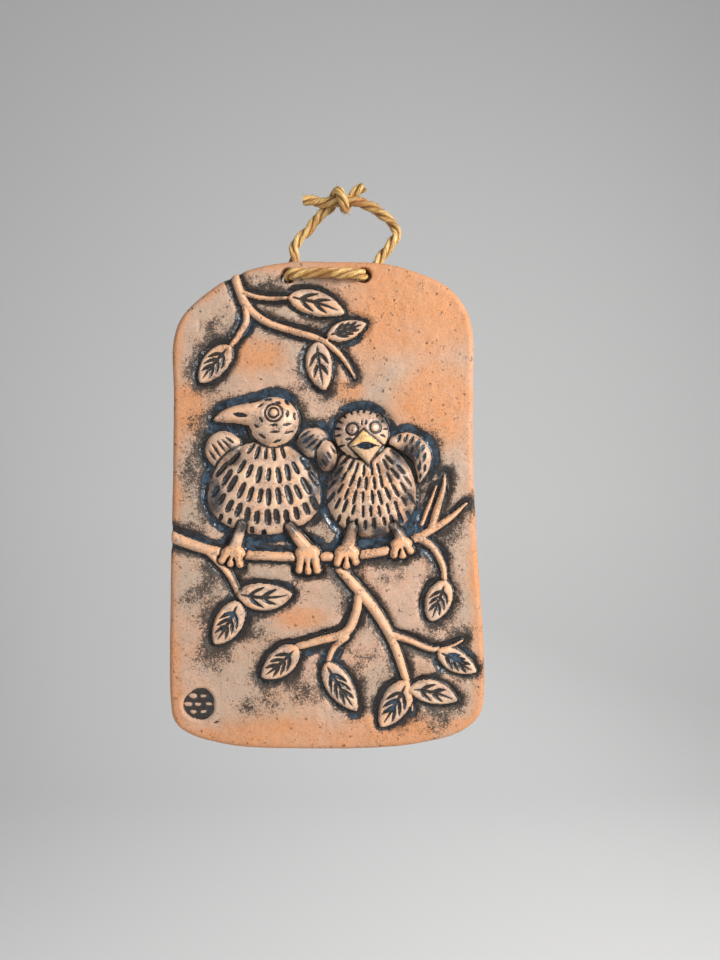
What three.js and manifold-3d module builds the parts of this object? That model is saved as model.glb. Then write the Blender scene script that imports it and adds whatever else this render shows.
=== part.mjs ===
// A hand-cut terracotta wall plaque with two birds on a branch in relief, and the twisted string it hangs by.
// Millimetres, +Z up. The front faces -Y, the wall is the plane Y = 0, and the origin is the nail's place:
// on the wall, under the top of the string's loop.
//
// The work is laid out on a plan of the plaque: x runs to the right and y up from the middle of the slab, and
// height stands out of its face. A mesh made on the plan is turned up to face -Y at the end.
import * as THREE from "three";
import { mergeVertices } from "three/addons/utils/BufferGeometryUtils.js";
import Module from "manifold-3d";

const wasm = await Module();
wasm.setup();

// ---------------------------------------------------------------- driving dimensions

const THICK = 10; // the slab, from its back to its plain front face
const EDGE = 2.6; // how far the slab's edges are rounded
const WALL_GAP = 4.9; // from the wall to the slab's back, where the string passes between them
const SINK = 1.6; // how deep the ground is pressed in beside each motif
const ROOT = 3.2; // how far a motif reaches down into the slab
const HIGHEST = 8; // nothing on the plaque stands further out than this
const HOLE_RADIUS = 3.2;
const HOLES = [[-16.5, 94.3], [14.7, 94.5]];
const STRING_RADIUS = 2.25;
const NAIL = { x: 10.5, y: 125.8 }; // on the plan
const STAMP = { x: -53.1, y: -81.8, radius: 6.9, depth: 1.0 };
// Rows of [height from the stamp's middle, how many bars].
const STAMP_BARS = { long: 3, wide: 1.2, deep: 2.4, apart: 4.4, rows: [[3, 2], [0, 3], [-3, 2]] };

// Places on the slab's edge, clockwise from the top left. The curve through them is the hand-cut outline.
const OUTLINE = [
  [-16, 100.3], [3, 100.4], [23, 99.7], [37, 96], [49.5, 90], [56.8, 81.5], [59.8, 71], [60, 50],
  [60, 20], [61.7, -18], [64, -52], [64.5, -77], [62.6, -86.8], [54.5, -93.8], [40, -98], [22, -100.2],
  [-22, -100.4], [-42, -98.9], [-57, -94.7], [-63.2, -89.6], [-65, -81], [-65, -30], [-64.2, 10],
  [-63.8, 45], [-64, 67], [-60.5, 77.4], [-50.5, 87.4], [-36.5, 95.8],
];

const OUTLINE_FINENESS = 1.5; // points on the edge for each of its places

// A branch is a row of [x, y, width], from its thick end to its tip. A fourth value is its own crest there,
// where it runs out over the slab's rounded edge.
const BRANCHES = {
  topStem: [[-38.8, 95.8, 3.6, -1.4], [-37.4, 91, 3.6], [-34.4, 83.2, 3.8]],
  topTwig: [[-35, 87.5, 2.2], [-30, 85.8, 2], [-23, 85, 1.8], [-14.5, 85.5, 1.6]],
  topBranch: [
    [-35.2, 85, 3.4], [-31, 79.3, 3.2], [-24, 74.8, 3], [-14, 71.5, 2.8], [-4, 68.4, 2.7],
    [3, 63.8, 2.3], [7.5, 58.5, 1.7], [11, 52.5, 0.9],
  ],
  topSideTwig: [[-34, 82, 3], [-33.6, 76, 3], [-36.4, 70.4, 2.8], [-41.5, 63.5, 2]],
  topLeafStalk: [[-1, 67.3, 1.2], [1.4, 70, 1.4]],
  perch: [
    [-65, -12.8, 5, -1.4], [-58, -15.6, 4.6], [-46, -19.2, 4.2], [-24, -21, 4], [0, -21.3, 4],
    [24, -18.8, 3.8], [38, -12.8, 3.4], [50, -5.5, 2.6], [57, 0.6, 1],
  ],
  upTwig: [[42.6, -9.4, 3.2], [45.5, 0, 2.8], [47.6, 7, 2], [48.2, 12.4, 0.9]],
  blade: [[38.6, -8, 1.8], [41.5, -0.5, 1.8], [44.6, 7.6, 0.8]],
  leftTwig: [[-51, -17.8, 2.8], [-46, -22.5, 3], [-40.5, -29, 2.8], [-36.6, -37.5, 2.2]],
  rightTwig: [[36.5, -13.2, 3.4], [42.8, -17.2, 3], [47.2, -25, 2.6], [48.4, -33, 2.2], [50.6, -39, 1.2]],
  lowBranch: [
    [5, -26.5, 4], [13.6, -36.3, 4.4], [20.4, -45, 4.2], [26.8, -56.5, 3.8], [31.5, -70, 3.2],
    [34, -79, 2.2], [34.6, -84.5, 1],
  ],
  lowArm: [[13, -35.6, 3.8], [11.6, -44, 3.8], [7.6, -52.2, 3.8], [-3, -55.6, 3.5], [-14.5, -59, 2.8]],
  lowTwig: [[7.4, -54.3, 3], [2.4, -58.8, 2.6], [-0.6, -66.5, 2]],
  lowSideTwig: [[26.4, -53.6, 3], [34, -56, 2.6], [43, -59.4, 2.2], [50, -58.5, 1.5], [55.4, -55.8, 0.8]],
};

// A leaf runs from its stalk to its tip; bend bows it to the left of that line.
const LEAVES = {
  topRight: { from: [-15.5, 85.4], to: [6.8, 78.8], width: 10.4, bend: 0.8 },
  topLeft: { from: [-41, 64.6], to: [-52.6, 50.4], width: 10.6, bend: -0.4 },
  topUpper: { from: [0.4, 69.6], to: [15.6, 74.6], width: 8.2, bend: 0 },
  topLower: { from: [-4.4, 66], to: [-1.4, 47.4], width: 11, bend: -0.6 },
  leftOuter: { from: [-36.2, -36.6], to: [-14.8, -36.6], width: 11.4, bend: -1.4 },
  leftLower: { from: [-37.2, -41], to: [-46.6, -57], width: 11.6, bend: 0.6 },
  lowLeft: { from: [-13.6, -59.2], to: [-27.2, -70.8], width: 11.2, bend: 0.6 },
  lowMiddle: { from: [-0.6, -65.6], to: [12, -84.6], width: 10.6, bend: -0.6 },
  lowRight: { from: [46, -60.2], to: [61, -68.6], width: 9, bend: -0.4 },
  lowFoot: { from: [32, -73.6], to: [21.8, -91], width: 12, bend: 0.4 },
  lowToe: { from: [34.6, -75.6], to: [53.2, -80.4], width: 9.8, bend: 0.8 },
  rightHanging: { from: [48, -32.6], to: [42.3, -47.6], width: 11, bend: 0 },
};
const LEAF_CREST = 0.7;
const LEAF_SHOULDER = 0.8; // less than 1 moves a leaf's widest place towards its stalk
const LEAF_FULLNESS = 0.8; // less than 1 fills out its sides
const LEAF_TIP = 0.6; // the least width, at its ends
const LEAF_STEPS = 4;
const BRANCH_CREST = 0.5;
const MIDRIB = { share: 0.86, width: 1.4, depth: 1.1 }; // a leaf's one pressed line
const BRANCH_STEP = 12; // between the rings of a branch
const FORM_STEP = 5; // between the rings of a leg, a toe, a beak or a wing
const TROUGH_STEP = 18; // between the rings of the pressed ground beside it
const END_MARGIN = 1.6; // how far the pressed ground runs on past a motif's end
const TROUGH_FOOT = 0.5; // the pressed ground is flat this far out from a motif
const TROUGH_LIP = 3.6; // and reaches the face this far out
const TROUGH_TOP = 1; // how far above the face its tool ends
const LARGE_FORM = 15; // a round form wider than this gets more sides and rings

// The birds' round forms: an egg is wider or taller on one side of its middle.
const FORMS = {
  leftBody: { x: -26.2, y: 3, across: 23.3, up: 23.5, down: 15.4, crest: 4.2 },
  leftHead: { x: -22.4, y: 34.4, across: 10.5, up: 10.2, down: 10.4, crest: 5 },
  leftWing: { x: -43, y: 23, across: 7.6, up: 7.6, down: 8.2, crest: 2.2 },
  innerWing: { x: -6.2, y: 26, across: 6.6, up: 6, down: 6.6, crest: 1.8 },
  rightBody: { x: 17.9, y: 4, across: 18.5, up: 22, down: 17.5, crest: 4.2 },
  rightHead: { x: 13.8, y: 29.2, across: 11.2, up: 10, down: 10, crest: 5 },
  rightInnerWing: { x: -0.4, y: 20.3, across: 4.2, up: 6.4, down: 6.6, crest: 2.6 },
};

const EGG_FULLNESS = 2.4; // 2 is a plain dome, and more fills out its shoulders

// Drawn-out forms of the birds, as rows of [x, y, width, crest].
const LIMBS = {
  leftBeak: [[-27, 37, 8, 5.2], [-33, 37, 7, 4.4], [-40, 36.8, 5.2, 3.2], [-46.6, 35.6, 1.4, 1.2]],
  rightWing: [
    [27, 26, 4.6, 2.4], [33, 25.4, 9, 2.6], [38.2, 20.6, 8.6, 2.4], [38.8, 14.6, 5, 1.8], [37.6, 9.6, 1, 0.8],
  ],
  leftLegA: [[-35.6, -7.6, 4.2, 2.6], [-38, -16.6, 6.2, 2.4]],
  leftLegB: [[-15.4, -8.6, 3.8, 2.6], [-9.6, -17.4, 7, 2.6]],
  rightLegA: [[9.8, -8, 4, 2.6], [8.4, -17.2, 7, 2.6]],
  rightLegB: [[26, -7.4, 3, 2.2], [30.6, -13.2, 5.4, 2.2]],
};
// Each foot spreads its toes from its palm to these tips.
const FEET = [
  { palm: [-38.4, -17.2], tips: [[-44, -21.6], [-40.4, -24], [-36, -25]] },
  { palm: [-8.8, -18.6], tips: [[-12, -26.8], [-8, -27.6], [-4.2, -26.4]] },
  { palm: [8, -18.4], tips: [[3.6, -25.2], [7.4, -25.6], [11.6, -23.6]] },
  { palm: [31, -13.4], tips: [[26.6, -20], [31, -20.4], [35, -18.6]] },
];
const TOE = { width: 3.4, tipWidth: 2.2, crest: 2.4 };

// Eyes: a round boss left standing in a pressed ring.
const EYES = [
  { form: "leftHead", x: -21.9, y: 37.6, rings: [2.3, 3.7] },
  { form: "rightHead", x: 10, y: 31, rings: [2.4] },
  { form: "rightHead", x: 19.4, y: 31.8, rings: [2.4] },
];
const EYE_GROOVE = { width: 1.8, depth: 1.7, rise: 2.2, sides: 10 };

// The right bird's open beak: a lozenge with the mouth sunk across its middle.
const LOZENGE = {
  top: [14.6, 30.6], left: [8.8, 24.4], foot: [16.5, 16.6], right: [22.2, 24.6], crest: 6.2, slope: 1.6,
};
const MOUTH = { x: 15.5, y: 24.2, length: 12, width: 3.6, depth: 1.7 };

// Feather strokes lie in rows round a bird's neck. Each row is an arc about `about`, given in degrees from
// straight down, and its strokes point away from the neck.
const PLUMAGE = [
  {
    form: "leftBody",
    neck: [-23, 34],
    rows: [
      { about: [-25, 34], reach: [13, 12.6], from: -50, to: 50, count: 7, length: 5, width: 1.6 },
      { about: [-25.5, 32], reach: [19.4, 19.4], from: -58, to: 58, count: 9, length: 5.4, width: 1.8 },
      { about: [-25.8, 28], reach: [22.4, 23.4], from: -60, to: 56, count: 10, length: 5.6, width: 1.9 },
      { about: [-26, 20], reach: [20, 24.6], from: -66, to: 60, count: 10, length: 4.8, width: 2.2 },
      { about: [-25.6, 12], reach: [13, 20.6], from: -20, to: 30, count: 3, length: 3.2, width: 1.8 },
    ],
  },
  {
    form: "rightBody",
    neck: [16.5, 34],
    rows: [
      { about: [16.5, 30], reach: [12, 16.4], from: -56, to: 56, count: 6, length: 5, width: 1.5 },
      { about: [17, 28], reach: [16.2, 20.8], from: -66, to: 66, count: 9, length: 5.4, width: 1.5 },
      { about: [17.4, 24], reach: [16.6, 22.2], from: -74, to: 74, count: 11, length: 5.2, width: 1.5 },
      { about: [17.6, 17], reach: [15.8, 20.4], from: -66, to: 66, count: 9, length: 5, width: 1.5 },
      { about: [17.6, 10], reach: [13.4, 18.6], from: -34, to: 34, count: 4, length: 4, width: 1.5 },
    ],
  },
];
// Rings of strokes on the heads, in degrees from straight right; turn is 90 for strokes along the ring.
const HEAD_STROKES = [
  {
    form: "leftHead", about: [-21.9, 37.6], radius: 6.4,
    from: -150, to: -20, count: 3, length: 3.6, turn: 90,
  },
  { form: "leftHead", about: [-22.2, 34.9], radius: 8.6, from: 12, to: 128, count: 4, length: 4.2, turn: 90 },
  {
    form: "leftHead", about: [-21.9, 37.6], radius: 9.8,
    from: -140, to: -40, count: 4, length: 4.2, turn: 90,
  },
  { form: "rightHead", about: [13.8, 29], radius: 9, from: 20, to: 190, count: 7, length: 3, turn: 0 },
];
const HEAD_STROKE_WIDTH = 1.4;
// Strokes across the wings, from the first place towards the last, all alike.
const WING_STROKES = [
  { form: "leftWing", first: [-46.4, 21], last: [-40.6, 26.6], angle: -52, count: 3, length: 6, crest: 2.1 },
  { form: "innerWing", first: [-9.2, 28.2], last: [-6.2, 23.8], angle: 32, count: 3, length: 6, crest: 1.8 },
  {
    form: "rightInnerWing", first: [-1.6, 18], last: [1.2, 21.6],
    angle: -52, count: 2, length: 4.4, crest: 2.4,
  },
  {
    form: "rightWing", first: [30.6, 26.4], last: [38.6, 18.4],
    angle: 62, count: 4, length: 5.4, crest: 2.5,
  },
];
const WING_STROKE_WIDTH = 1.3;
const STROKE_DEPTH = 1.5;
const STROKE_DROP = 0.3; // the tool's middle goes this far under the surface
const STROKE_MARGIN = 0.93; // no stroke lies further than this share of the way to a form's edge

// The string's middle, as [x, y, height], from the left tail through the knot, down the right leg and through
// both holes, up the left leg and round the knot to the right tail.
const STRING_BEHIND = -THICK - WALL_GAP + STRING_RADIUS + 0.1;
const STRING_ROUTE = [
  [-10.7, 129.2, -10.5], [-1.6, 127.6, -9.6], [3.2, 127.7, -8.6], [9.1, 128.4, -9.2], [13.9, 128.1, -11.2],
  [18.7, 126.3, -12.3], [23.6, 122.8, STRING_BEHIND], [27.5, 119.1, STRING_BEHIND],
  [28.7, 115, STRING_BEHIND], [26.6, 111.1, STRING_BEHIND], [23.6, 107.1, STRING_BEHIND],
  [20.7, 103.1, STRING_BEHIND], [16.1, 96, -12.1], [15, 94.7, -9.5], [14.5, 94.6, -5.2],
  [14.3, 94.5, -0.9], [12.9, 94.5, 2.3], [9.6, 94.5, 2.9], [-3, 94.7, 2.7], [-11.4, 94.5, 2.9],
  [-14.7, 94.4, 2.2], [-16, 94.3, -0.9], [-16.3, 94.4, -5.2], [-16.7, 94.6, -9.5], [-16.6, 95.8, -12.2],
  [-14.9, 104.6, STRING_BEHIND], [-15, 108.9, STRING_BEHIND], [-13.3, 112.6, STRING_BEHIND],
  [-9.7, 115.9, STRING_BEHIND], [-6.6, 119.8, STRING_BEHIND], [-3.6, 123.4, STRING_BEHIND],
  [0.4, 126.4, STRING_BEHIND], [1.9, 129.8, -12.3], [3.4, 131.9, -9], [4.7, 130, -5.3],
  [6.3, 126.6, -4.7], [6.9, 124.6, -8.6], [7.6, 127.8, -12.3], [10.6, 132, -11.6], [14.9, 135, -10.6],
];
const STRING_STEPS = 48; // rings of the tube over the whole string
const STRING_SIDES = 8;
// The lengths it is made in, as shares of the route: each overlaps the next, and none crosses itself.
const STRING_LENGTHS = [[0, 0.77], [0.76, 0.91], [0.9, 1]];
const ROUTE_FINENESS = 4; // points on the smooth line for each of the route's own

// ---------------------------------------------------------------- solids

// A closed three.js geometry as a manifold solid, whichever way its faces were listed.
function solid(geometry) {
  const bare = geometry.index ? geometry.toNonIndexed() : geometry.clone();
  bare.deleteAttribute("normal");
  bare.deleteAttribute("uv");
  const merged = mergeVertices(bare, 1e-4);
  const corners = Uint32Array.from(merged.index.array);
  const points = merged.attributes.position.array;
  const make = () => new wasm.Manifold(
    new wasm.Mesh({ numProp: 3, vertProperties: points, triVerts: corners }),
  );
  const made = make();
  if (made.volume() > 0) return made;
  for (let i = 0; i < corners.length; i += 3) {
    [corners[i + 1], corners[i + 2]] = [corners[i + 2], corners[i + 1]];
  }
  return make();
}

function joined(solids) {
  return solids.reduce((all, one) => all.add(one));
}

function geometryOf(made) {
  const mesh = made.getMesh();
  const geometry = new THREE.BufferGeometry();
  geometry.setAttribute("position", new THREE.BufferAttribute(mesh.vertProperties, 3));
  geometry.setIndex(new THREE.BufferAttribute(mesh.triVerts, 1));
  geometry.computeVertexNormals();
  return geometry;
}

// Rings of equally many points, skinned in order, with a point closing each end.
function loft(rings, first, last) {
  const sides = rings[0].length;
  const points = [...rings.flat(), first, last];
  const faces = [];
  for (let r = 0; r + 1 < rings.length; r++) {
    for (let s = 0; s < sides; s++) {
      const a = r * sides + s;
      const b = r * sides + ((s + 1) % sides);
      faces.push(a, b, b + sides, a, b + sides, a + sides);
    }
  }
  const top = (rings.length - 1) * sides;
  for (let s = 0; s < sides; s++) {
    const next = (s + 1) % sides;
    faces.push(points.length - 2, next, s);
    faces.push(points.length - 1, top + s, top + next);
  }
  const geometry = new THREE.BufferGeometry().setFromPoints(points);
  geometry.setIndex(faces);
  return solid(geometry);
}

function middle(ring) {
  const sum = ring.reduce((total, point) => total.add(point), new THREE.Vector3());
  return sum.divideScalar(ring.length);
}

// ---------------------------------------------------------------- forms that run along a line

// Stations along a smooth line through the places: where it is, which way is across, its width and crest.
function stations(places, spacing) {
  const line = new THREE.CatmullRomCurve3(
    places.map(([x, y]) => new THREE.Vector3(x, y, 0)), false, "centripetal",
  );
  const size = new THREE.CatmullRomCurve3(
    places.map(([, , width, crest = 0]) => new THREE.Vector3(width, crest, 0)), false, "catmullrom",
  );
  const count = Math.max(2, Math.round(line.getLength() / spacing));
  return Array.from({ length: count + 1 }, (_, i) => {
    const at = i / count;
    const along = line.getTangent(at);
    const { x: width, y: crest } = size.getPoint(at);
    return { place: line.getPoint(at), across: new THREE.Vector3(along.y, -along.x, 0), width, crest };
  });
}

// The line with its ends drawn out, so that the ground is pressed in past the form's own ends.
function drawnOut(line) {
  const past = (station, next) => {
    const away = station.place.clone().sub(next.place).setLength(END_MARGIN);
    return { ...station, place: station.place.clone().add(away) };
  };
  return [past(line[0], line[1]), ...line.slice(1, -1), past(line.at(-1), line.at(-2))];
}

// A form with the given section at each station; a section is a row of [share of half width, height].
function ridge(line, section) {
  const rings = line.map((station) => section(station).map(([across, height]) => {
    const point = station.place.clone().addScaledVector(station.across, across);
    return point.setZ(height);
  }));
  return loft(rings, middle(rings[0]), middle(rings.at(-1)));
}

function roundSection({ width, crest }) {
  const half = width / 2;
  const shoulder = half * 0.85;
  const high = (crest - SINK) / 2;
  return [[half, -ROOT], [shoulder, high], [0, crest], [-shoulder, high], [-half, -ROOT]];
}

function toeSection({ width, crest }) {
  const half = width / 2;
  const top = half * 0.5;
  return [[half, -ROOT], [top, crest], [-top, crest], [-half, -ROOT]];
}

function leafSection({ width, crest }) {
  const half = width / 2;
  const top = half * 0.55;
  const rim = -SINK * 0.4;
  return [[half, -ROOT], [half, rim], [top, crest], [-top, crest], [-half, rim], [-half, -ROOT]];
}

// The pressed ground beside a form: a flat-bottomed trough a little wider than the form.
function troughSection({ width }) {
  const foot = width / 2 + TROUGH_FOOT;
  const lip = width / 2 + TROUGH_LIP;
  return [[lip, TROUGH_TOP], [foot, -SINK], [-foot, -SINK], [-lip, TROUGH_TOP]];
}

function branchLine(places, spacing) {
  const crested = places.map(([x, y, width, crest = BRANCH_CREST]) => [x, y, width, crest]);
  return stations(crested, spacing);
}

// How wide a leaf is at a share of its length: full near the stalk, and drawn out towards the tip.
function leafSwell(at) {
  return Math.sin(Math.PI * Math.min(1, at ** LEAF_SHOULDER)) ** LEAF_FULLNESS;
}

// A leaf's line from stalk to tip, bowed by its bend.
function leafLine({ from, to, width, bend }, count) {
  const [dx, dy] = [to[0] - from[0], to[1] - from[1]];
  const long = Math.hypot(dx, dy);
  return Array.from({ length: count + 1 }, (_, i) => {
    const at = i / count;
    const bow = bend * Math.sin(Math.PI * at);
    const place = new THREE.Vector3(
      from[0] + dx * at - (dy / long) * bow, from[1] + dy * at + (dx / long) * bow, 0,
    );
    return {
      place,
      across: new THREE.Vector3(dy / long, -dx / long, 0),
      width: Math.max(LEAF_TIP, width * leafSwell(at)),
      crest: LEAF_CREST,
    };
  });
}

// ---------------------------------------------------------------- round forms

function isLarge({ across }) {
  return across > LARGE_FORM;
}

function sidesOf(form) {
  return isLarge(form) ? 18 : 11;
}

function onEgg({ x, y, across, up, down }, turn, share, spread = 0) {
  const high = Math.sin(turn) > 0 ? up : down;
  return [x + Math.cos(turn) * (across * share + spread), y + Math.sin(turn) * (high * share + spread)];
}

function eggShare({ x, y, across, up, down }, px, py) {
  return Math.hypot((px - x) / across, (py - y) / (py > y ? up : down));
}

// How high a round form stands at a share of the way from its middle to its edge.
function eggHeight(form, share) {
  return -SINK + (form.crest + SINK) * Math.sqrt(Math.max(0, 1 - share ** EGG_FULLNESS));
}

function egg(form, sides) {
  const shares = isLarge(form) ? [1, 0.86, 0.52] : [1, 0.72];
  const levels = [[1, -ROOT], ...shares.map((share) => [share, eggHeight(form, share)])];
  const rings = levels.map(([share, height]) => Array.from({ length: sides }, (_, i) => {
    const [x, y] = onEgg(form, (i / sides) * 2 * Math.PI, share);
    return new THREE.Vector3(x, y, height);
  }));
  return loft(rings, middle(rings[0]), new THREE.Vector3(form.x, form.y, form.crest));
}

function eggTrough(form) {
  const sides = isLarge(form) ? 11 : 7;
  const levels = [[TROUGH_LIP, TROUGH_TOP], [TROUGH_FOOT, -SINK]];
  const rings = levels.map(([spread, height]) => Array.from({ length: sides }, (_, i) => {
    const [x, y] = onEgg(form, (i / sides) * 2 * Math.PI, 1, spread);
    return new THREE.Vector3(x, y, height);
  }));
  return loft(rings, middle(rings[0]), middle(rings.at(-1)));
}

// ---------------------------------------------------------------- pressed marks

// A stroke pressed by a pointed tool: a lozenge on the plan, deepest in its middle.
function stroke(x, y, degrees, length, width, height, depth = STROKE_DEPTH) {
  const lozenge = new THREE.OctahedronGeometry(1);
  lozenge.scale(length / 2, width / 2, depth);
  lozenge.rotateZ(THREE.MathUtils.degToRad(degrees));
  lozenge.translate(x, y, height - STROKE_DROP);
  return solid(lozenge);
}

function evenly(from, to, count) {
  return Array.from({ length: count }, (_, i) => from + ((to - from) * i) / Math.max(1, count - 1));
}

function featherStrokes(body, { neck, rows }) {
  return rows.flatMap(({ about, reach, from, to, count, length, width }) => (
    evenly(from, to, count).flatMap((degrees) => {
      const turn = THREE.MathUtils.degToRad(degrees);
      const x = about[0] + Math.sin(turn) * reach[0];
      const y = about[1] - Math.cos(turn) * reach[1];
      const share = eggShare(body, x, y);
      if (share > STROKE_MARGIN) return [];
      const lie = THREE.MathUtils.radToDeg(Math.atan2(y - neck[1], x - neck[0]));
      return [stroke(x, y, lie, length, width, eggHeight(body, share))];
    })
  ));
}

function headStrokes(head, { about, radius, from, to, count, length, turn }) {
  return evenly(from, to, count).map((degrees) => {
    const angle = THREE.MathUtils.degToRad(degrees);
    const x = about[0] + Math.cos(angle) * radius;
    const y = about[1] + Math.sin(angle) * radius;
    const height = eggHeight(head, eggShare(head, x, y));
    return stroke(x, y, degrees + turn, length, HEAD_STROKE_WIDTH, height);
  });
}

function wingStrokes({ first, last, angle, count, length, crest }) {
  return evenly(0, 1, count).map((at) => {
    const x = THREE.MathUtils.lerp(first[0], last[0], at);
    const y = THREE.MathUtils.lerp(first[1], last[1], at);
    return stroke(x, y, angle, length, WING_STROKE_WIDTH, crest - STROKE_DROP);
  });
}

// A leaf's midrib, pressed as one long stroke.
function midrib({ from, to, bend }) {
  const [dx, dy] = [to[0] - from[0], to[1] - from[1]];
  const long = Math.hypot(dx, dy);
  const lie = THREE.MathUtils.radToDeg(Math.atan2(dy, dx));
  const x = (from[0] + to[0]) / 2 - (dy / long) * bend;
  const y = (from[1] + to[1]) / 2 + (dx / long) * bend;
  return stroke(x, y, lie, long * MIDRIB.share, MIDRIB.width, LEAF_CREST, MIDRIB.depth);
}

function eyeGrooves(head, { x, y, rings }) {
  const height = eggHeight(head, eggShare(head, x, y));
  return rings.map((radius) => {
    const { width, depth, rise } = EYE_GROOVE;
    const profile = [[radius - width / 2, rise], [radius, -depth], [radius + width / 2, rise]];
    const points = [...profile, profile[0]].map(([r, h]) => new THREE.Vector2(r, h));
    const ring = new THREE.LatheGeometry(points, EYE_GROOVE.sides);
    ring.rotateX(Math.PI / 2);
    ring.translate(x, y, height);
    return solid(ring);
  });
}

// ---------------------------------------------------------------- the plaque

function outlineShape() {
  const edge = new THREE.CatmullRomCurve3(
    OUTLINE.map(([x, y]) => new THREE.Vector3(x, y, 0)), true, "centripetal",
  );
  const points = edge.getPoints(OUTLINE.length * OUTLINE_FINENESS).slice(0, -1);
  return new THREE.Shape(points.map(({ x, y }) => new THREE.Vector2(x, y)));
}

function slab() {
  const geometry = new THREE.ExtrudeGeometry(outlineShape(), {
    depth: THICK - 2 * EDGE,
    bevelThickness: EDGE,
    bevelSize: EDGE,
    bevelOffset: -EDGE,
    bevelSegments: 2,
  });
  geometry.translate(0, 0, EDGE - THICK);
  return solid(geometry);
}

// The block of clay that the motifs are cut from: nothing stands past the slab's outline.
function blank() {
  const depth = ROOT + HIGHEST;
  const geometry = new THREE.ExtrudeGeometry(outlineShape(), { depth: depth + 1, bevelEnabled: false });
  geometry.translate(0, 0, -ROOT - 0.5);
  return solid(geometry);
}

function hole([x, y]) {
  const drill = new THREE.CylinderGeometry(HOLE_RADIUS, HOLE_RADIUS, THICK * 3, 16);
  drill.rotateX(Math.PI / 2);
  drill.translate(x, y, 0);
  return solid(drill);
}

function lozengeBeak() {
  const { top, left, foot, right, crest, slope } = LOZENGE;
  const corners = [top, left, foot, right];
  const ringAt = (height) => corners.map(([x, y]) => new THREE.Vector3(x, y, height));
  const rings = [ringAt(-ROOT), ringAt(crest - slope)];
  const beak = loft(rings, middle(rings[0]), new THREE.Vector3(MOUTH.x, MOUTH.y, crest));
  const { x, y, length, width, depth } = MOUTH;
  return marked(beak, [stroke(x, y, 0, length, width, crest, depth)]);
}

function toes({ palm, tips }) {
  const { width, tipWidth, crest } = TOE;
  return tips.map(([x, y]) => {
    const bend = [(palm[0] + x * 2) / 3, (palm[1] + y * 2) / 3, width, crest];
    const tip = [x, y, tipWidth, crest * 0.3];
    return ridge(stations([[...palm, width, crest], bend, tip], FORM_STEP), toeSection);
  });
}

// The roundel pressed in the corner, with rows of plain level bars left standing in it.
function stampRecess() {
  const { x, y, radius, depth } = STAMP;
  const disc = new THREE.CylinderGeometry(radius, radius - 0.5, depth * 2, 20);
  disc.rotateX(Math.PI / 2);
  disc.translate(x, y, 0);
  return solid(disc);
}

function stampBars() {
  const { x, y, depth } = STAMP;
  const { long, wide, deep, apart, rows } = STAMP_BARS;
  return rows.flatMap(([height, count]) => evenly(-1, 1, count).map((side) => {
    const bar = new THREE.BoxGeometry(long, wide, deep);
    bar.translate(x + (side * apart * (count - 1)) / 2, y + height, -deep / 2 - depth * 0.4);
    return solid(bar);
  }));
}

// A form with its own marks pressed in it, before anything else is laid over them.
function marked(form, marks) {
  return marks.length ? form.subtract(joined(marks)) : form;
}

function roundForm(name) {
  const form = FORMS[name];
  const own = ({ form: owner }) => owner === name;
  return marked(egg(form, sidesOf(form)), [
    ...PLUMAGE.filter(own).flatMap((plumage) => featherStrokes(form, plumage)),
    ...HEAD_STROKES.filter(own).flatMap((ring) => headStrokes(form, ring)),
    ...EYES.filter(own).flatMap((eye) => eyeGrooves(form, eye)),
    ...WING_STROKES.filter(own).flatMap(wingStrokes),
  ]);
}

function limbForm(name) {
  const own = ({ form: owner }) => owner === name;
  const limb = ridge(stations(LIMBS[name], FORM_STEP), roundSection);
  return marked(limb, WING_STROKES.filter(own).flatMap(wingStrokes));
}

function plaque() {
  const branches = Object.values(BRANCHES);
  const leaves = Object.values(LEAVES);
  const pressedLines = [
    ...branches.map((places) => branchLine(places, TROUGH_STEP)),
    ...leaves.map((leaf) => leafLine(leaf, LEAF_STEPS)),
    ...Object.values(LIMBS).map((places) => stations(places, TROUGH_STEP)),
  ];
  const pressed = joined([
    ...pressedLines.map((line) => ridge(drawnOut(line), troughSection)),
    ...Object.values(FORMS).map(eggTrough),
    stampRecess(),
  ]);
  const standing = joined([
    ...branches.map((places) => ridge(branchLine(places, BRANCH_STEP), roundSection)),
    ...leaves.map((leaf) => marked(ridge(leafLine(leaf, LEAF_STEPS), leafSection), [midrib(leaf)])),
    ...Object.keys(FORMS).map(roundForm),
    ...Object.keys(LIMBS).map(limbForm),
    ...FEET.flatMap(toes),
    lozengeBeak(),
    ...stampBars(),
  ]);
  const worked = slab().subtract(pressed).add(standing.intersect(blank()));
  return worked.subtract(joined(HOLES.map(hole)));
}

// ---------------------------------------------------------------- the string

// The tube is made in lengths that don't cross themselves, and the lengths are joined where they meet and
// where the knot lays them on each other.
function hangingString() {
  const route = new THREE.CatmullRomCurve3(STRING_ROUTE.map((place) => new THREE.Vector3(...place)));
  const points = route.getPoints(STRING_ROUTE.length * ROUTE_FINENESS);
  const section = new THREE.Shape().absarc(0, 0, STRING_RADIUS, 0, Math.PI * 2);
  const last = points.length - 1;
  return joined(STRING_LENGTHS.map(([from, to]) => {
    const part = points.slice(Math.round(from * last), Math.round(to * last) + 1);
    const tube = new THREE.ExtrudeGeometry(section, {
      steps: Math.round((to - from) * STRING_STEPS),
      curveSegments: STRING_SIDES / 2,
      bevelEnabled: false,
      extrudePath: new THREE.CatmullRomCurve3(part),
    });
    return solid(tube);
  }));
}

// ---------------------------------------------------------------- the part

const CLAY = new THREE.MeshStandardMaterial({ color: 0xc99b76, roughness: 0.7, metalness: 0 });
const STRING = new THREE.MeshStandardMaterial({ color: 0xc9943f, roughness: 0.6, metalness: 0 });

// Stands a mesh made on the plan upright, with the nail's place at the origin.
function hung(name, made, material) {
  const mesh = new THREE.Mesh(geometryOf(made), material);
  mesh.name = name;
  mesh.rotation.x = Math.PI / 2;
  mesh.position.set(-NAIL.x, -(WALL_GAP + THICK), -NAIL.y);
  return mesh;
}

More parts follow.
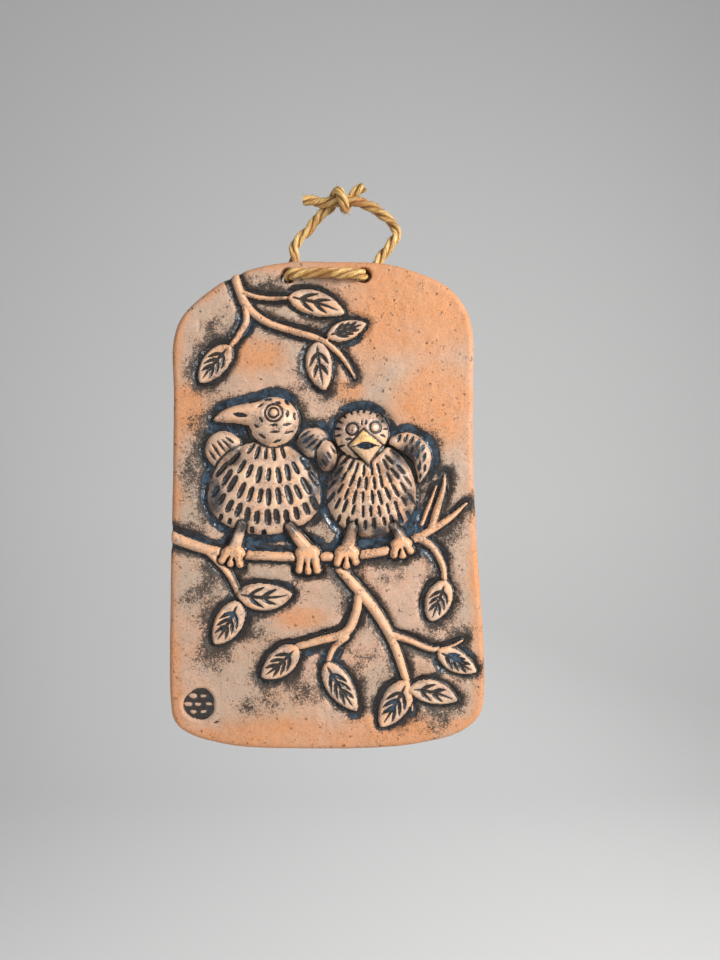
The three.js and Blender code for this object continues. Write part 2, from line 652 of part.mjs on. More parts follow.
const part = new THREE.Group();
part.add(hung("plaque", plaque(), CLAY));
part.add(hung("hanging_cord", hangingString(), STRING));

export default part;
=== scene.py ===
"""A hand-cut clay wall plaque with two birds on a branch in relief, hung on a twisted golden string.

The plaque hangs in the frame of its solids: metres, +Z up, its front towards -Y, the wall at Y = 0 and the
nail's place at the origin. Its relief is laid out on a plan in millimetres: x to the right and y up from the
middle of the slab, and height out of its face.
"""

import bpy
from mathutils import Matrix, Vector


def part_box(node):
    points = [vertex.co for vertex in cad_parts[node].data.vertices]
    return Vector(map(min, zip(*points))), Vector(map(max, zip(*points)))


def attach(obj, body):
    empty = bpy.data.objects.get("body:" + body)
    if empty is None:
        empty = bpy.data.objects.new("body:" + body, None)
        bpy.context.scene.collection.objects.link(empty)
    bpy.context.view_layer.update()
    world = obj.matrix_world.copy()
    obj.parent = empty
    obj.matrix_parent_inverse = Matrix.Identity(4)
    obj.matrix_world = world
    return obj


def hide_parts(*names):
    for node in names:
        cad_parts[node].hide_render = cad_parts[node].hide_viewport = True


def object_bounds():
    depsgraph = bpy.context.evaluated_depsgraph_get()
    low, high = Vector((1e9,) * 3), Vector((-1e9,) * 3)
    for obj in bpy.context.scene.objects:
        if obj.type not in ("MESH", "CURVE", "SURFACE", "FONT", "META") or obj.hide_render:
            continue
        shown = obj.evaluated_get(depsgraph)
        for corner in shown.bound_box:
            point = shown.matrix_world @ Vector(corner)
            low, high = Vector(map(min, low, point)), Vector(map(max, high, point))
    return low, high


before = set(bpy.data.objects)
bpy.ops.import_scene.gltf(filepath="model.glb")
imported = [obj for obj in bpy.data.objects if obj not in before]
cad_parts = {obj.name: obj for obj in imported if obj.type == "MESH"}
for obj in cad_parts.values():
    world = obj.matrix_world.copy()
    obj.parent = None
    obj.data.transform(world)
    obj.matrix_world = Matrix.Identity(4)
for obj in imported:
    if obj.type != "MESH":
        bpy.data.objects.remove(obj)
SOLID_BOX = [list(corner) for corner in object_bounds()]

import math

import bpy
import numpy as np
from bpy.props import FloatProperty, FloatVectorProperty, IntProperty, PointerProperty
from bpy.types import Operator, Panel, PropertyGroup
from mathutils import Vector

bl_info = {
    "name": "Bird Plaque",
    "version": (1, 0, 0),
    "blender": (4, 5, 0),
    "location": "View3D > Sidebar > Plaque",
    "description": "A clay wall plaque with two birds in relief, hung on a twisted string",
    "category": "Add Mesh",
}

MM = 0.001
BODY = "root"

# ------------------------------------------------------------------ the layout, on the plan

NAIL = (10.5, 125.8)
HOLES = [(-16.5, 94.3), (14.7, 94.5)]
OUTLINE = [
    [-16, 100.3], [3, 100.4], [23, 99.7], [37, 96], [49.5, 90], [56.8, 81.5], [59.8, 71], [60, 50],
    [60, 20], [61.7, -18], [64, -52], [64.5, -77], [62.6, -86.8], [54.5, -93.8], [40, -98], [22, -100.2],
    [-22, -100.4], [-42, -98.9], [-57, -94.7], [-63.2, -89.6], [-65, -81], [-65, -30], [-64.2, 10],
    [-63.8, 45], [-64, 67], [-60.5, 77.4], [-50.5, 87.4], [-36.5, 95.8],
]

# A branch is a row of [x, y, width, crest], from its thick end to its tip.
BRANCHES = {
    "top stem": [[-38.8, 95.8, 3.6, 0.2], [-37.4, 91, 3.6, 0.7], [-34.4, 83.2, 3.8, 0.7]],
    "top twig": [[-35, 87.5, 2.2, 0.6], [-30, 85.8, 2, 0.5], [-23, 85, 1.8, 0.4], [-14.5, 85.5, 1.6, 0.3]],
    "top branch": [
        [-35.2, 85, 3.4, 0.7], [-31, 79.3, 3.2, 0.7], [-24, 74.8, 3, 0.6], [-14, 71.5, 2.8, 0.5],
        [-4, 68.4, 2.7, 0.5], [3, 63.8, 2.3, 0.4], [7.5, 58.5, 1.7, 0.2], [11, 52.5, 0.9, -0.4],
    ],
    "top side twig": [[-34, 82, 3, 0.6], [-33.6, 76, 3, 0.6], [-36.4, 70.4, 2.8, 0.5], [-41.5, 63.5, 2, 0.4]],
    "top leaf stalk": [[-1, 67.3, 1.2, 0.2], [1.4, 70, 1.4, 0.3]],
    "perch": [
        [-65, -12.8, 5, 0.4], [-58, -15.6, 4.6, 0.7], [-46, -19.2, 4.2, 0.8], [-24, -21, 4, 0.9],
        [0, -21.3, 4, 0.9], [24, -18.8, 3.8, 0.8], [38, -12.8, 3.4, 0.7], [50, -5.5, 2.6, 0.5],
        [57, 0.6, 1, 0],
    ],
    "up twig": [[42.6, -9.4, 3.2, 0.6], [45.5, 0, 2.8, 0.6], [47.6, 7, 2, 0.4], [48.2, 12.4, 0.9, -0.2]],
    "blade": [[38.6, -8, 1.8, 0.3], [41.5, -0.5, 1.8, 0.3], [44.6, 7.6, 0.8, -0.2]],
    "left twig": [
        [-51, -17.8, 2.8, 0.6], [-46, -22.5, 3, 0.5], [-40.5, -29, 2.8, 0.4], [-36.6, -37.5, 2.2, 0.3],
    ],
    "right twig": [
        [36.5, -13.2, 3.4, 0.7], [42.8, -17.2, 3, 0.6], [47.2, -25, 2.6, 0.5], [48.4, -33, 2.2, 0.4],
        [50.6, -39, 1.2, 0],
    ],
    "low branch": [
        [5, -26.5, 4, 0.3], [13.6, -36.3, 4.4, 0.8], [20.4, -45, 4.2, 0.8], [26.8, -56.5, 3.8, 0.8],
        [31.5, -70, 3.2, 0.6], [34, -79, 2.2, 0.4], [34.6, -84.5, 1, 0],
    ],
    "low arm": [
        [13, -35.6, 3.8, 0.7], [11.6, -44, 3.8, 0.8], [7.6, -52.2, 3.8, 0.8], [-3, -55.6, 3.5, 0.7],
        [-14.5, -59, 2.8, 0.4],
    ],
    "low twig": [[7.4, -54.3, 3, 0.6], [2.4, -58.8, 2.6, 0.5], [-0.6, -66.5, 2, 0.3]],
    "low side twig": [
        [26.4, -53.6, 3, 0.6], [34, -56, 2.6, 0.6], [43, -59.4, 2.2, 0.5], [50, -58.5, 1.5, 0.2],
        [55.4, -55.8, 0.8, -0.2],
    ],
}

# A leaf is [stalk, tip, width, bend, pairs of veins]; bend bows it to the left of the line to its tip.
LEAVES = [
    [(-15.5, 85.4), (6.8, 78.8), 10.4, 0.8, 2],
    [(-41, 64.6), (-52.6, 50.4), 10.6, -0.4, 3],
    [(0.4, 69.6), (15.6, 74.6), 8.2, 0, 3],
    [(-4.4, 66), (-1.4, 47.4), 11, -0.6, 2],
    [(-36.2, -36.6), (-14.8, -36.6), 11.4, -1.4, 2],
    [(-37.2, -41), (-46.6, -57), 11.6, 0.6, 3],
    [(-13.6, -59.2), (-27.2, -70.8), 11.2, 0.6, 3],
    [(-0.6, -65.6), (12, -84.6), 10.6, -0.6, 3],
    [(46, -60.2), (61, -68.6), 9, -0.4, 3],
    [(32, -73.6), (21.8, -91), 12, 0.4, 3],
    [(34.6, -75.6), (53.2, -80.4), 9.8, 0.8, 2],
    [(48, -32.6), (42.3, -47.6), 11, 0, 3],
]

# The birds' round forms: an egg is wider or taller on one side of its middle.
FORMS = {
    "left wing": {"x": -43, "y": 23, "across": 7.6, "up": 7.6, "down": 8.2, "crest": 2.2},
    "inner wing": {"x": -6.2, "y": 26, "across": 6.6, "up": 6, "down": 6.6, "crest": 1.8},
    "left body": {"x": -26.2, "y": 3, "across": 23.3, "up": 23.5, "down": 15.4, "crest": 4.2},
    "right body": {"x": 17.9, "y": 4, "across": 18.5, "up": 22, "down": 17.5, "crest": 4.2},
    "right inner wing": {"x": -0.4, "y": 20.3, "across": 4.2, "up": 6.4, "down": 6.6, "crest": 2.6},
    "left head": {"x": -22.4, "y": 34.4, "across": 10.5, "up": 10.2, "down": 10.4, "crest": 5},
    "right head": {"x": 13.8, "y": 29.2, "across": 11.2, "up": 10, "down": 10, "crest": 5},
}

# Drawn-out forms of the birds, as rows of [x, y, width, crest].
LIMBS = {
    "left beak": [
        [-25, 36.6, 13, 3.8], [-30.5, 37.3, 10.6, 3.9], [-34.5, 37.4, 8.8, 3.6], [-38.6, 37.2, 7.2, 3],
        [-42.4, 36.4, 5.4, 2.4], [-45.6, 35.4, 2.6, 1.6],
    ],
    "right wing": [
        [27, 26, 4.6, 2.4], [33, 25.4, 9, 2.6], [38.2, 20.6, 8.6, 2.4], [38.8, 14.6, 5, 1.8],
        [37.6, 9.6, 1, 0.8],
    ],
}

# Each leg runs from [x, y, width, crest] under the body to its foot, whose palm spreads its toes to their
# tips.
FEET = [
    {"leg": [-35.2, -8.2, 3.6, 2.4], "palm": (-38.8, -19.4), "span": 4.4,
     "tips": [(-43.4, -22.6), (-40, -24), (-36.2, -24.4)]},
    {"leg": [-15.7, -9, 3.8, 2.6], "palm": (-8.4, -19.2), "span": 4.8,
     "tips": [(-11.8, -26.8), (-8.1, -27.2), (-4.4, -26.8)]},
    {"leg": [10.2, -9, 3.9, 2.6], "palm": (7.8, -19.2), "span": 4.8,
     "tips": [(3.9, -23.8), (7.7, -24.8), (11.4, -23.4)]},
    {"leg": [27, -8.4, 3, 2.2], "palm": (30.2, -16), "span": 3.6,
     "tips": [(27.2, -20.4), (30.7, -20.6), (33.9, -18.8)]},
]
PALM = {"crest": 2.3, "margin": 2.7, "up": 3.2, "down": 3.6}
TOE = {"width": 3.5, "tip": 3.3, "crest": 2.3}

EYES = {
    "left head": [{"at": (-21.9, 37.6), "rings": (2.0, 3.5)}],
    "right head": [{"at": (10, 31), "rings": (2.4,)}, {"at": (19.4, 31.8), "rings": (2.3,)}],
}
LOZENGE = {"corners": [(14.6, 30.6), (8.8, 24.4), (16.5, 16.6), (22.2, 24.6)], "crest": 6.0}
MOUTH = {"at": (15.5, 24.2), "length": 8.4, "width": 3.6}

# Feather strokes lie in rows round a bird's neck. Each row is an arc: [x, y, radius, first and last degrees
# from straight down, degrees between strokes, stroke length, stroke width].
PLUMAGE = {
    "left body": {
        "neck": (-23.5, 38),
        "rows": [
            [-24, 37, 15.8, -50, 52, 11.5, 5.6, 1.7],
            [-23, 32, 20, -66, 52, 11.4, 7.2, 2.3],
            [-23, 28, 24.5, -66, 60, 9.2, 7.8, 2.5],
            [-23.5, 24, 28.9, -62, 52, 8, 6.6, 2.8],
            [-24, 20, 31.4, -48, 13, 8.6, 3.4, 2.2],
        ],
    },
    "right body": {
        "neck": (16.8, 28),
        "rows": [
            [16.5, 26, 11.6, -80, 80, 14.5, 6, 1.4],
            [16.8, 26, 17.2, -72, 70, 10.6, 6, 1.4],
            [17, 26, 22.8, -58, 60, 8.6, 6, 1.4],
            [17.2, 26, 28.4, -46, 48, 7.2, 5.8, 1.5],
            [17.4, 26, 33.6, -34, 36, 6.2, 4.8, 1.8],
        ],
    },
}
STROKE_MARGIN = 0.95  # no stroke lies further than this share of the way to a body's edge
# Strokes laid one by one: [x, y, degrees from straight right, length, width].
STROKES = {
    "left head": [
        [-30.4, 42.6, 18, 5, 1.3], [-27.4, 40.6, 32, 3.6, 1.2], [-24.4, 43.2, 0, 3.6, 1.3],
        [-20.2, 41.8, -14, 2.8, 1.2], [-16.8, 42, -52, 3.6, 1.2], [-16.3, 37.4, 88, 3.6, 1.4],
        [-13.6, 36.4, 94, 3.8, 1.3], [-27, 34.8, -48, 3, 1.2], [-28.9, 32.2, -34, 2.8, 1.2],
        [-21.8, 32.6, 4, 3.6, 1.2], [-16.4, 32.9, 12, 4, 1.2], [-21.4, 29.8, 4, 4.4, 1.2],
        [-15.8, 29.8, 16, 4.2, 1.2], [-26.6, 28.2, -32, 4, 1.3], [-20.6, 26.2, 18, 4.4, 1.2],
        [-32.3, 31, -50, 4, 1.4],
    ],
    "left beak": [[-35.6, 36.8, -8, 6.8, 2.1]],
    "right head": [
        [6.8, 36.4, 128, 3, 1.1], [9.6, 38, 106, 3, 1.2], [12.3, 38.6, 94, 3, 1.1],
        [14.9, 38.6, 84, 3, 1.1], [17.6, 37.9, 64, 2.6, 1.1], [20.4, 36.8, 50, 2.8, 1.1],
        [22.7, 34.6, 34, 2.8, 1.1], [5.2, 34, 150, 3, 1.1], [4.2, 31.2, 172, 3, 1.2],
        [4.2, 28.4, 190, 3, 1.2], [13.9, 33.4, 96, 2.6, 1.1], [15.6, 33.8, 84, 2.6, 1.1],
        [8.4, 26.9, 6, 3, 1.3], [5.6, 24.2, 12, 3.6, 1.2], [23.6, 31.2, 12, 2.4, 1],
        [22.6, 28.4, -24, 3, 1.1],
    ],
    "left wing": [
        [-47.2, 20.4, -54, 5.4, 1.2], [-45.6, 22.6, -56, 7.4, 1.2], [-43.4, 24, -54, 6.8, 1.2],
        [-41.4, 25, -46, 6, 1.1], [-40, 26.6, -36, 4.6, 1.1],
    ],
    "inner wing": [
        [-9.6, 29, 36, 5.6, 1.2], [-8, 27.2, 36, 7, 1.2], [-6.6, 25.2, 38, 7, 1.2],
        [-4.4, 24, 40, 5.6, 1.1],
    ],
    "right inner wing": [[-1.6, 17.4, -56, 4.6, 1.2], [0.6, 20.2, -56, 4.8, 1.2], [2.2, 22.6, -54, 4, 1.1]],
    "right wing": [
        [29.2, 27.4, 66, 3.8, 1.5], [31.8, 27.2, 64, 4.6, 1.5], [34.2, 26.6, 60, 4.6, 1.5],
        [36.6, 25.4, 56, 4.6, 1.5], [38.8, 23.4, 58, 4.4, 1.5], [31.8, 23.2, 70, 3.6, 1.4],
        [34.2, 22.4, 72, 4, 1.5], [36.6, 20.6, 76, 4.4, 1.5], [39.4, 19.6, 76, 4.4, 1.5],
        [37.4, 15.8, 82, 4.4, 1.5], [39.6, 15, 84, 4, 1.3], [37.9, 11.8, 86, 3, 1.2],
    ],
}

STAMP = {"at": (-53.1, -81.8), "radius": 6.9, "depth": 1.0}
# Rows of [height from the stamp's middle, how many strokes]; sizes are half a stroke's length and width.
STAMP_STROKES = {
    "rows": [(3.3, 2), (0.0, 3), (-3.3, 2)], "apart": 4.2, "long": 0.9, "wide": 0.8, "rise": 0.85,
}
# Small marks of making and handling: [x, y, degrees, length, width, depth].
KNOCKS = [
    [54, -40.2, -32, 4.6, 0.8, 0.5], [-46, -89.3, 20, 3.4, 1.8, 0.7], [-53, 74, 86, 6, 2, 0.5],
    [31, 61, 12, 16, 0.5, 0.16], [20, 57.5, 8, 9, 0.4, 0.12], [46, 68, -70, 8, 0.5, 0.15],
]

# Where blue glaze pooled, as soft spots: [x, y, reach across, reach up].
GLAZE_POOLS = [
    [-22, 46, 17, 5], [-38, 41, 11, 5], [14, 41, 15, 4.4], [0.4, 31, 6, 7], [29, 31.5, 10, 5],
    [-9, 24, 9, 12], [-42, 31, 10, 6], [-49, 8, 6, 15], [-50, -11, 15, 8], [-24, -16, 15, 6],
    [0, -12, 8, 10], [20, -16, 11, 5], [36, -8, 10, 9], [-36, -42, 9, 8], [4, -66, 6, 9],
    [10.6, -88.4, 6, 3.6], [41, 22, 7, 13], [-1.5, 4, 5, 13], [44, -20, 8, 6], [-33, 75, 6, 7],
    [12, 66, 7, 4], [24, -82, 6, 4], [55, -62, 8, 4], [38, -14, 9, 4], [-20, -33, 10, 3], [-5, -62, 7, 5],
    [34, -83, 4, 5], [44, -66, 5, 7],
]
# Where dark glaze lies on the birds themselves, mostly where their forms meet, overhang and stand on their
# legs, partly as painted shade; as soft spots.
DARK_GLAZE_AND_SHADE_SPOTS = [
    [-8.6, 24.6, 6, 5], [-1.4, 18.2, 4, 4.4], [34.6, 21.6, 5.6, 7], [17, -11, 15, 4.5], [-5.6, 10, 3.4, 12],
    [10.2, -9.6, 4, 4], [-15.6, -9.6, 4, 3.6], [-35.4, -8.6, 3.6, 3.4], [-38.6, 20, 5.5, 6], [27, 16, 6, 7],
    [3.2, 12, 4.5, 10], [27, -9, 4, 4], [-12, 22, 5, 5], [23.5, 36, 4, 5], [-46, 4, 4, 9],
    [33.4, 2, 3.5, 10],
]
# Where the dark stain was smeared wide over the ground, as soft spots.
SMUDGES = [
    [-55, 12, 9, 20], [-57, -8, 8, 10], [-54, 34, 9, 8], [-52, -38, 10, 14], [-46, -64, 12, 8],
    [-28, -82, 12, 6], [-10, -78, 9, 7], [26, -28, 9, 7], [50, -14, 8, 9], [50, 12, 6, 7], [56, -52, 6, 7],
    [-8, 57, 10, 5], [6, 46, 8, 5], [-46, 72, 7, 6], [-25, 92, 10, 4], [-30, -50, 8, 6], [16, -66, 7, 8],
    [44, -90, 8, 5],
]
# Where the clay was left raw and orange, as soft spots: [x, y, reach across, reach up].
RAW_PATCHES = [
    [34, 82, 40, 34], [46, 44, 26, 22], [-8, -97, 72, 12], [24, -92, 34, 9], [-66, 20, 7, 90],
    [62, -8, 5, 60], [-32, 62, 16, 9], [8, 47, 9, 6], [14, 98, 34, 7], [-54, -97, 30, 8], [58, -92, 22, 6],
    [-10, -46, 14, 6], [-58, 40, 8, 12],
]

# The string's middle, as [x, y, height], from the left tail through the knot, down the right leg and through
# both holes, up the left leg and round the knot to the right tail.
STRING_BEHIND = -12.55
STRING_ROUTE = [
    [-10.7, 129.2, -10.5], [-1.6, 127.6, -9.6], [3.2, 127.7, -8.6], [9.1, 128.4, -9.2],
    [13.9, 128.1, -11.2],
    [18.7, 126.3, -12.3], [23.6, 122.8, STRING_BEHIND], [27.5, 119.1, STRING_BEHIND],
    [28.7, 115, STRING_BEHIND], [26.6, 111.1, STRING_BEHIND], [23.6, 107.1, STRING_BEHIND],
    [20.7, 103.1, STRING_BEHIND], [16.1, 96, -12.1], [15, 94.7, -9.5], [14.5, 94.6, -5.2],
    [14.3, 94.5, -0.9], [12.9, 94.5, 2.3], [9.6, 94.5, 2.9], [-3, 94.7, 2.7], [-11.4, 94.5, 2.9],
    [-14.7, 94.4, 2.2], [-16, 94.3, -0.9], [-16.3, 94.4, -5.2], [-16.7, 94.6, -9.5], [-16.6, 95.8, -12.2],
    [-14.9, 104.6, STRING_BEHIND], [-15, 108.9, STRING_BEHIND], [-13.3, 112.6, STRING_BEHIND],
    [-9.7, 115.9, STRING_BEHIND], [-6.6, 119.8, STRING_BEHIND], [-3.6, 123.4, STRING_BEHIND],
    [0.4, 126.4, STRING_BEHIND], [1.9, 129.8, -12.3], [3.4, 131.9, -9], [4.7, 130, -5.3],
    [6.3, 126.6, -4.7], [6.9, 124.6, -8.6], [7.6, 127.8, -12.3], [10.6, 132, -11.6], [14.9, 135, -10.6],
]


# ------------------------------------------------------------------ what a user may change


def length(name, description, default):
    return FloatProperty(name=name, description=description, default=default, unit="LENGTH", precision=5)


def colour(name, description, default):
    return FloatVectorProperty(
        name=name, description=description, default=(*default, 1.0), size=4, subtype="COLOR", min=0, max=1
    )


class PlaqueSlab(PropertyGroup):
    thickness: length("Thickness", "From the slab's back to its plain front face", 0.010)
    edge: length("Edge rounding", "How far the slab's edges are rounded", 0.0026)
    hole_radius: length("Hole radius", "Radius of the two holes for the string", 0.0032)
    spacing: length("Relief spacing", "Distance between the points of the relief", 0.00036)
    triangles: IntProperty(name="Triangles", description="Most triangles kept on the plaque", default=190000)


class PlaqueRelief(PropertyGroup):
    sink: length("Pressed depth", "How deep the ground is pressed in beside each motif", 0.0017)
    branch_reach: length("Branch groove", "How far the ground is pressed beside a branch or leaf", 0.0036)
    bird_reach: length("Bird groove", "How far the ground is pressed beside a bird", 0.0052)
    crease: length("Crease depth", "How deep a form cuts into what it lies on", 0.0011)
    leaf_crest: length("Leaf height", "How far a leaf stands out of the slab's face", 0.0007)
    vein_depth: length("Vein depth", "How deep a leaf's veins are pressed", 0.0011)
    stroke_depth: length("Stroke depth", "How deep the feather strokes are pressed", 0.0013)
    unevenness: length("Unevenness", "How far the hand-rolled slab waves in and out", 0.00035)
    softness: length("Softness", "How far the wet clay's edges have slumped", 0.00022)


class PlaqueClay(PropertyGroup):
    raw: colour("Raw clay", "Clay that was wiped clean", (0.60, 0.245, 0.09))
    wash: colour("Wash", "Thin grey-beige film left on the clay", (0.42, 0.32, 0.245))
    pink: colour("Pink clay", "Patches where the film is thin", (0.56, 0.36, 0.26))
    worn: colour("Worn tops", "Raised clay rubbed pale", (0.70, 0.47, 0.31))
    ember: colour("Orange tops", "Raised clay that shows orange, on feet and branches", (0.76, 0.40, 0.21))
    honey: colour("Honey", "Yellow glaze on the beaks", (0.90, 0.50, 0.15))
    # Dark oxide in the recesses; the same colour also paints shade beside the motifs on their side away from
    # the light.
    soot: colour("Oxide", "Dark stain in the recesses", (0.017, 0.015, 0.015))
    stain: colour("Stain", "Brown-black speckle round the motifs", (0.035, 0.026, 0.02))
    glaze: colour("Blue glaze", "Glassy blue where it is thick", (0.045, 0.082, 0.125))
    # Dark glaze; the same colour also paints shade on the birds where their forms meet and overhang.
    glaze_dark_and_shade: colour("Dark glaze", "Glassy blue over dark stain", (0.010, 0.015, 0.022))


class PlaqueString(PropertyGroup):
    diameter: length("Diameter", "Thickness of the whole string", 0.0045)
    pitch: length("Twist", "Length of one full turn of the plies", 0.021)
    plies: IntProperty(name="Plies", description="Yarns twisted together", default=3, min=2, max=6)
    gold: colour("Gold", "Fibres in the light", (0.76, 0.47, 0.13))
    straw: colour("Straw", "The palest fibres", (0.92, 0.74, 0.34))
    # The darkest fibre colour also paints the shade in the creases between the plies.
    amber_and_crease_shade: colour("Amber", "Fibres deep in the twist", (0.25, 0.09, 0.018))


class PlaqueStage(PropertyGroup):
    view_angle: FloatProperty(
        name="View angle", description="Angle that the camera's short side takes in",
        default=math.radians(49.6), subtype="ANGLE",
    )
    view_distance: length("View distance", "From the camera to the slab's front face", 0.320)
    floor: colour("Floor", "Plain floor and backdrop", (0.82, 0.82, 0.82))
    key: FloatProperty(name="Key light", description="Strength of the soft main light in watts", default=4.3)
    glint: FloatProperty(name="Glint", description="Strength of the small bright light in watts", default=4.4)
    fill: FloatProperty(name="Fill light", description="Strength of the opposite light in watts", default=1.6)


# ------------------------------------------------------------------ lines and fields on the plan


def hung(points):
    """Places on the plan, as rows of x, y and height in millimetres, as they hang in the frame in metres."""
    x, y, height = np.asarray(points, float).T
    out = -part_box("plaque")[1].y / MM + bpy.context.scene.plaque_slab.thickness / MM + height
    return np.stack([x - NAIL[0], -out, y - NAIL[1]], axis=-1) * MM


def smooth_line(rows, spacing, closed=False, places=2):
    """Rows resampled along a smooth curve through them. The first `places` columns are the place."""
    rows = np.asarray(rows, float)
    if closed:
        through = np.vstack([rows[-1], rows, rows[0], rows[1]])
    else:
        through = np.vstack([2 * rows[0] - rows[1], rows, 2 * rows[-1] - rows[-2]])
    steps = np.linalg.norm(np.diff(through[:, :places], axis=0), axis=1) ** 0.5
    knots = np.concatenate([[0], np.cumsum(steps)])
    made = []
    for i in range(1, len(through) - 2):
        p0, p1, p2, p3 = through[i - 1 : i + 3]
        t0, t1, t2, t3 = knots[i - 1 : i + 3]
        count = max(2, math.ceil(np.linalg.norm((p2 - p1)[:places]) / spacing))
        t = np.linspace(t1, t2, count, endpoint=False)[:, None]
        a1 = ((t1 - t) * p0 + (t - t0) * p1) / (t1 - t0)
        a2 = ((t2 - t) * p1 + (t - t1) * p2) / (t2 - t1)
        a3 = ((t3 - t) * p2 + (t - t2) * p3) / (t3 - t2)
        b1 = ((t2 - t) * a1 + (t - t0) * a2) / (t2 - t0)
        b2 = ((t3 - t) * a2 + (t - t1) * a3) / (t3 - t1)
        made.append(((t2 - t) * b1 + (t - t1) * b2) / (t2 - t1))
    if not closed:
        made.append(rows[-1:])
    return np.vstack(made)


def eased(value, low, high):
    """0 below low and 1 above high, with a smooth step between; low may be the greater."""
    share = np.clip((value - low) / (high - low), 0, 1)
    return share * share * (3 - 2 * share)


class Ground:
    """Heights and marks on an even grid over the plan, all in millimetres."""

    def __init__(self, spacing, sizes):
        self.spacing = spacing
        self.sizes = sizes
        self.xs = np.arange(-68, 68 + spacing, spacing)
        self.ys = np.arange(-104, 104 + spacing, spacing)
        shape = (len(self.ys), len(self.xs))
        self.x, self.y = np.meshgrid(self.xs, self.ys)
        self.motif = np.full(shape, -9.0)  # the motifs' own surface, far below where there is none
        self.pressed = np.zeros(shape)  # how deep the ground is pressed in
        self.beside = np.full(shape, 99.0)  # distance to the nearest motif
        self.bird = np.full(shape, 99.0)  # distance to the nearest bird
        self.warm = np.zeros(shape)  # where the raised clay shows orange
        self.honey = np.zeros(shape)
        self.marks = np.zeros(shape)  # pressed marks and creases that hold the dark stain
        self.mouth = np.zeros(shape)
        self.stamp = np.zeros(shape)

    def window(self, low, high):
        """The part of the grid between two corners."""
        i0, i1 = np.searchsorted(self.xs, [low[0], high[0]])
        j0, j1 = np.searchsorted(self.ys, [low[1], high[1]])
        return slice(max(j0, 0), j1), slice(max(i0, 0), i1)

    def to_discs(self, line, reach):
        """Distance to a row of discs [x, y, width, ...]: the window, the distance and the nearest disc."""
        half = line[:, 2] / 2
        margin = half.max() + reach
        area = self.window(line[:, :2].min(0) - margin, line[:, :2].max(0) + margin)
        dx = self.x[area][..., None] - line[:, 0]
        dy = self.y[area][..., None] - line[:, 1]
        away = np.hypot(dx, dy) - half
        nearest = away.argmin(-1)
        return area, np.take_along_axis(away, nearest[..., None], -1)[..., 0], nearest

    def to_egg(self, egg, reach):
        """Distance to an egg and the share of the way from its middle to its edge, over a window."""
        low = (egg["x"] - egg["across"] - reach, egg["y"] - egg["down"] - reach)
        high = (egg["x"] + egg["across"] + reach, egg["y"] + egg["up"] + reach)
        area = self.window(low, high)
        dx, dy = self.x[area] - egg["x"], self.y[area] - egg["y"]
        share = np.hypot(dx / egg["across"], dy / np.where(dy > 0, egg["up"], egg["down"]))
        share = np.maximum(share, 1e-3)
        return area, np.hypot(dx, dy) * (1 - 1 / share), share

    def lay(self, area, away, height, reach, bird=False, crease=1.0):
        """Lays a form on the ground: its height where away is negative, and pressed ground beside it."""
        out = np.maximum(away, 0)
        self.beside[area] = np.minimum(self.beside[area], out)
        if bird:
            self.bird[area] = np.minimum(self.bird[area], out)
        deep = self.sizes.sink / MM * eased(out, reach, 0.8)
        self.pressed[area] = np.maximum(self.pressed[area], deep)
        under = self.motif[area]
        cut = crease * self.sizes.crease / MM * eased(out, 1.5, 0.2)
        floor = -self.sizes.sink / MM
        creased = np.where(under > floor, np.maximum(under - cut, floor), under)
        covers = (away < 0) & (height > under)
        self.motif[area] = np.where(away < 0, np.maximum(under, height), creased)
        outline = crease * eased(out, 1.3, 0.3) * (away >= 0)
        self.marks[area] = np.where(covers, 0, np.maximum(self.marks[area], outline))

    def lay_together(self, forms, reach, bird=False, crease=1.0):
        """Lays forms that grow out of each other, with no crease between them."""
        away = np.full(self.x.shape, 99.0)
        height = np.full(self.x.shape, -9.0)
        for area, one_away, one_height in forms:
            away[area] = np.minimum(away[area], one_away)
            height[area] = np.maximum(height[area], np.where(one_away < 0, one_height, -9))
        self.lay(np.s_[:, :], away, height, reach, bird, crease)
        return away

    def press(self, marks, depth, pointed=2.0):
        """Presses marks [x, y, degrees, length, width]: ovals, or lenses where pointed is nearer 1."""
        cuts = np.zeros_like(self.motif)
        for x, y, degrees, long, wide in marks:
            turn = math.radians(degrees)
            area = self.window((x - long, y - long), (x + long, y + long))
            dx, dy = self.x[area] - x, self.y[area] - y
            along = (dx * math.cos(turn) + dy * math.sin(turn)) / (long / 2)
            aside = (dy * math.cos(turn) - dx * math.sin(turn)) / (wide / 2)
            inside = np.clip(1 - np.abs(along) ** (pointed + 1), 0, 1) ** (1 / pointed)
            share = np.abs(aside) / np.maximum(inside, 1e-3)
            share = np.where(np.abs(along) < 1, share, 2)
            cut = np.clip(1 - share**2, 0, 1) ** 0.75 * np.clip(1 - along**4, 0, 1)
            cuts[area] = np.maximum(cuts[area], cut)
        self.motif -= depth * cuts
        self.marks = np.maximum(self.marks, eased(cuts, 0.02, 0.4))


def blurred(field, spread, spacing):
    """A field smoothed by a bell curve of that spread, both in millimetres."""
    rows = np.fft.fftfreq(field.shape[0], spacing)[:, None]
    columns = np.fft.rfftfreq(field.shape[1], spacing)[None, :]
    bell = np.exp(-2 * (math.pi * spread) ** 2 * (rows**2 + columns**2))
    return np.fft.irfft2(np.fft.rfft2(field) * bell, s=field.shape)


def rough_field(shape, spread, spacing, seed):
    """Soft random waves about `spread` millimetres wide, mostly between -1 and 1."""
    waves = blurred(np.random.default_rng(seed).normal(size=shape), spread, spacing)
    return waves / (2 * waves.std())


def soft_spots(ground, spots):
    """How strongly each place lies in one of the spots, from 0 to 1."""
    made = np.zeros_like(ground.x)
    for x, y, across, up in spots:
        share = np.hypot((ground.x - x) / across, (ground.y - y) / up)
        made = np.maximum(made, eased(share, 1.25, 0.35))
    return made


# ------------------------------------------------------------------ laying the relief


def rounded(away, half, crest, sink, power=2.0):
    """Height of a half-round form from how far a place is inside it."""
    share = np.clip(1 + away / np.maximum(half, 0.05), 0, 1)
    return -sink + (crest + sink) * np.sqrt(np.clip(1 - share**power, 0, 1))


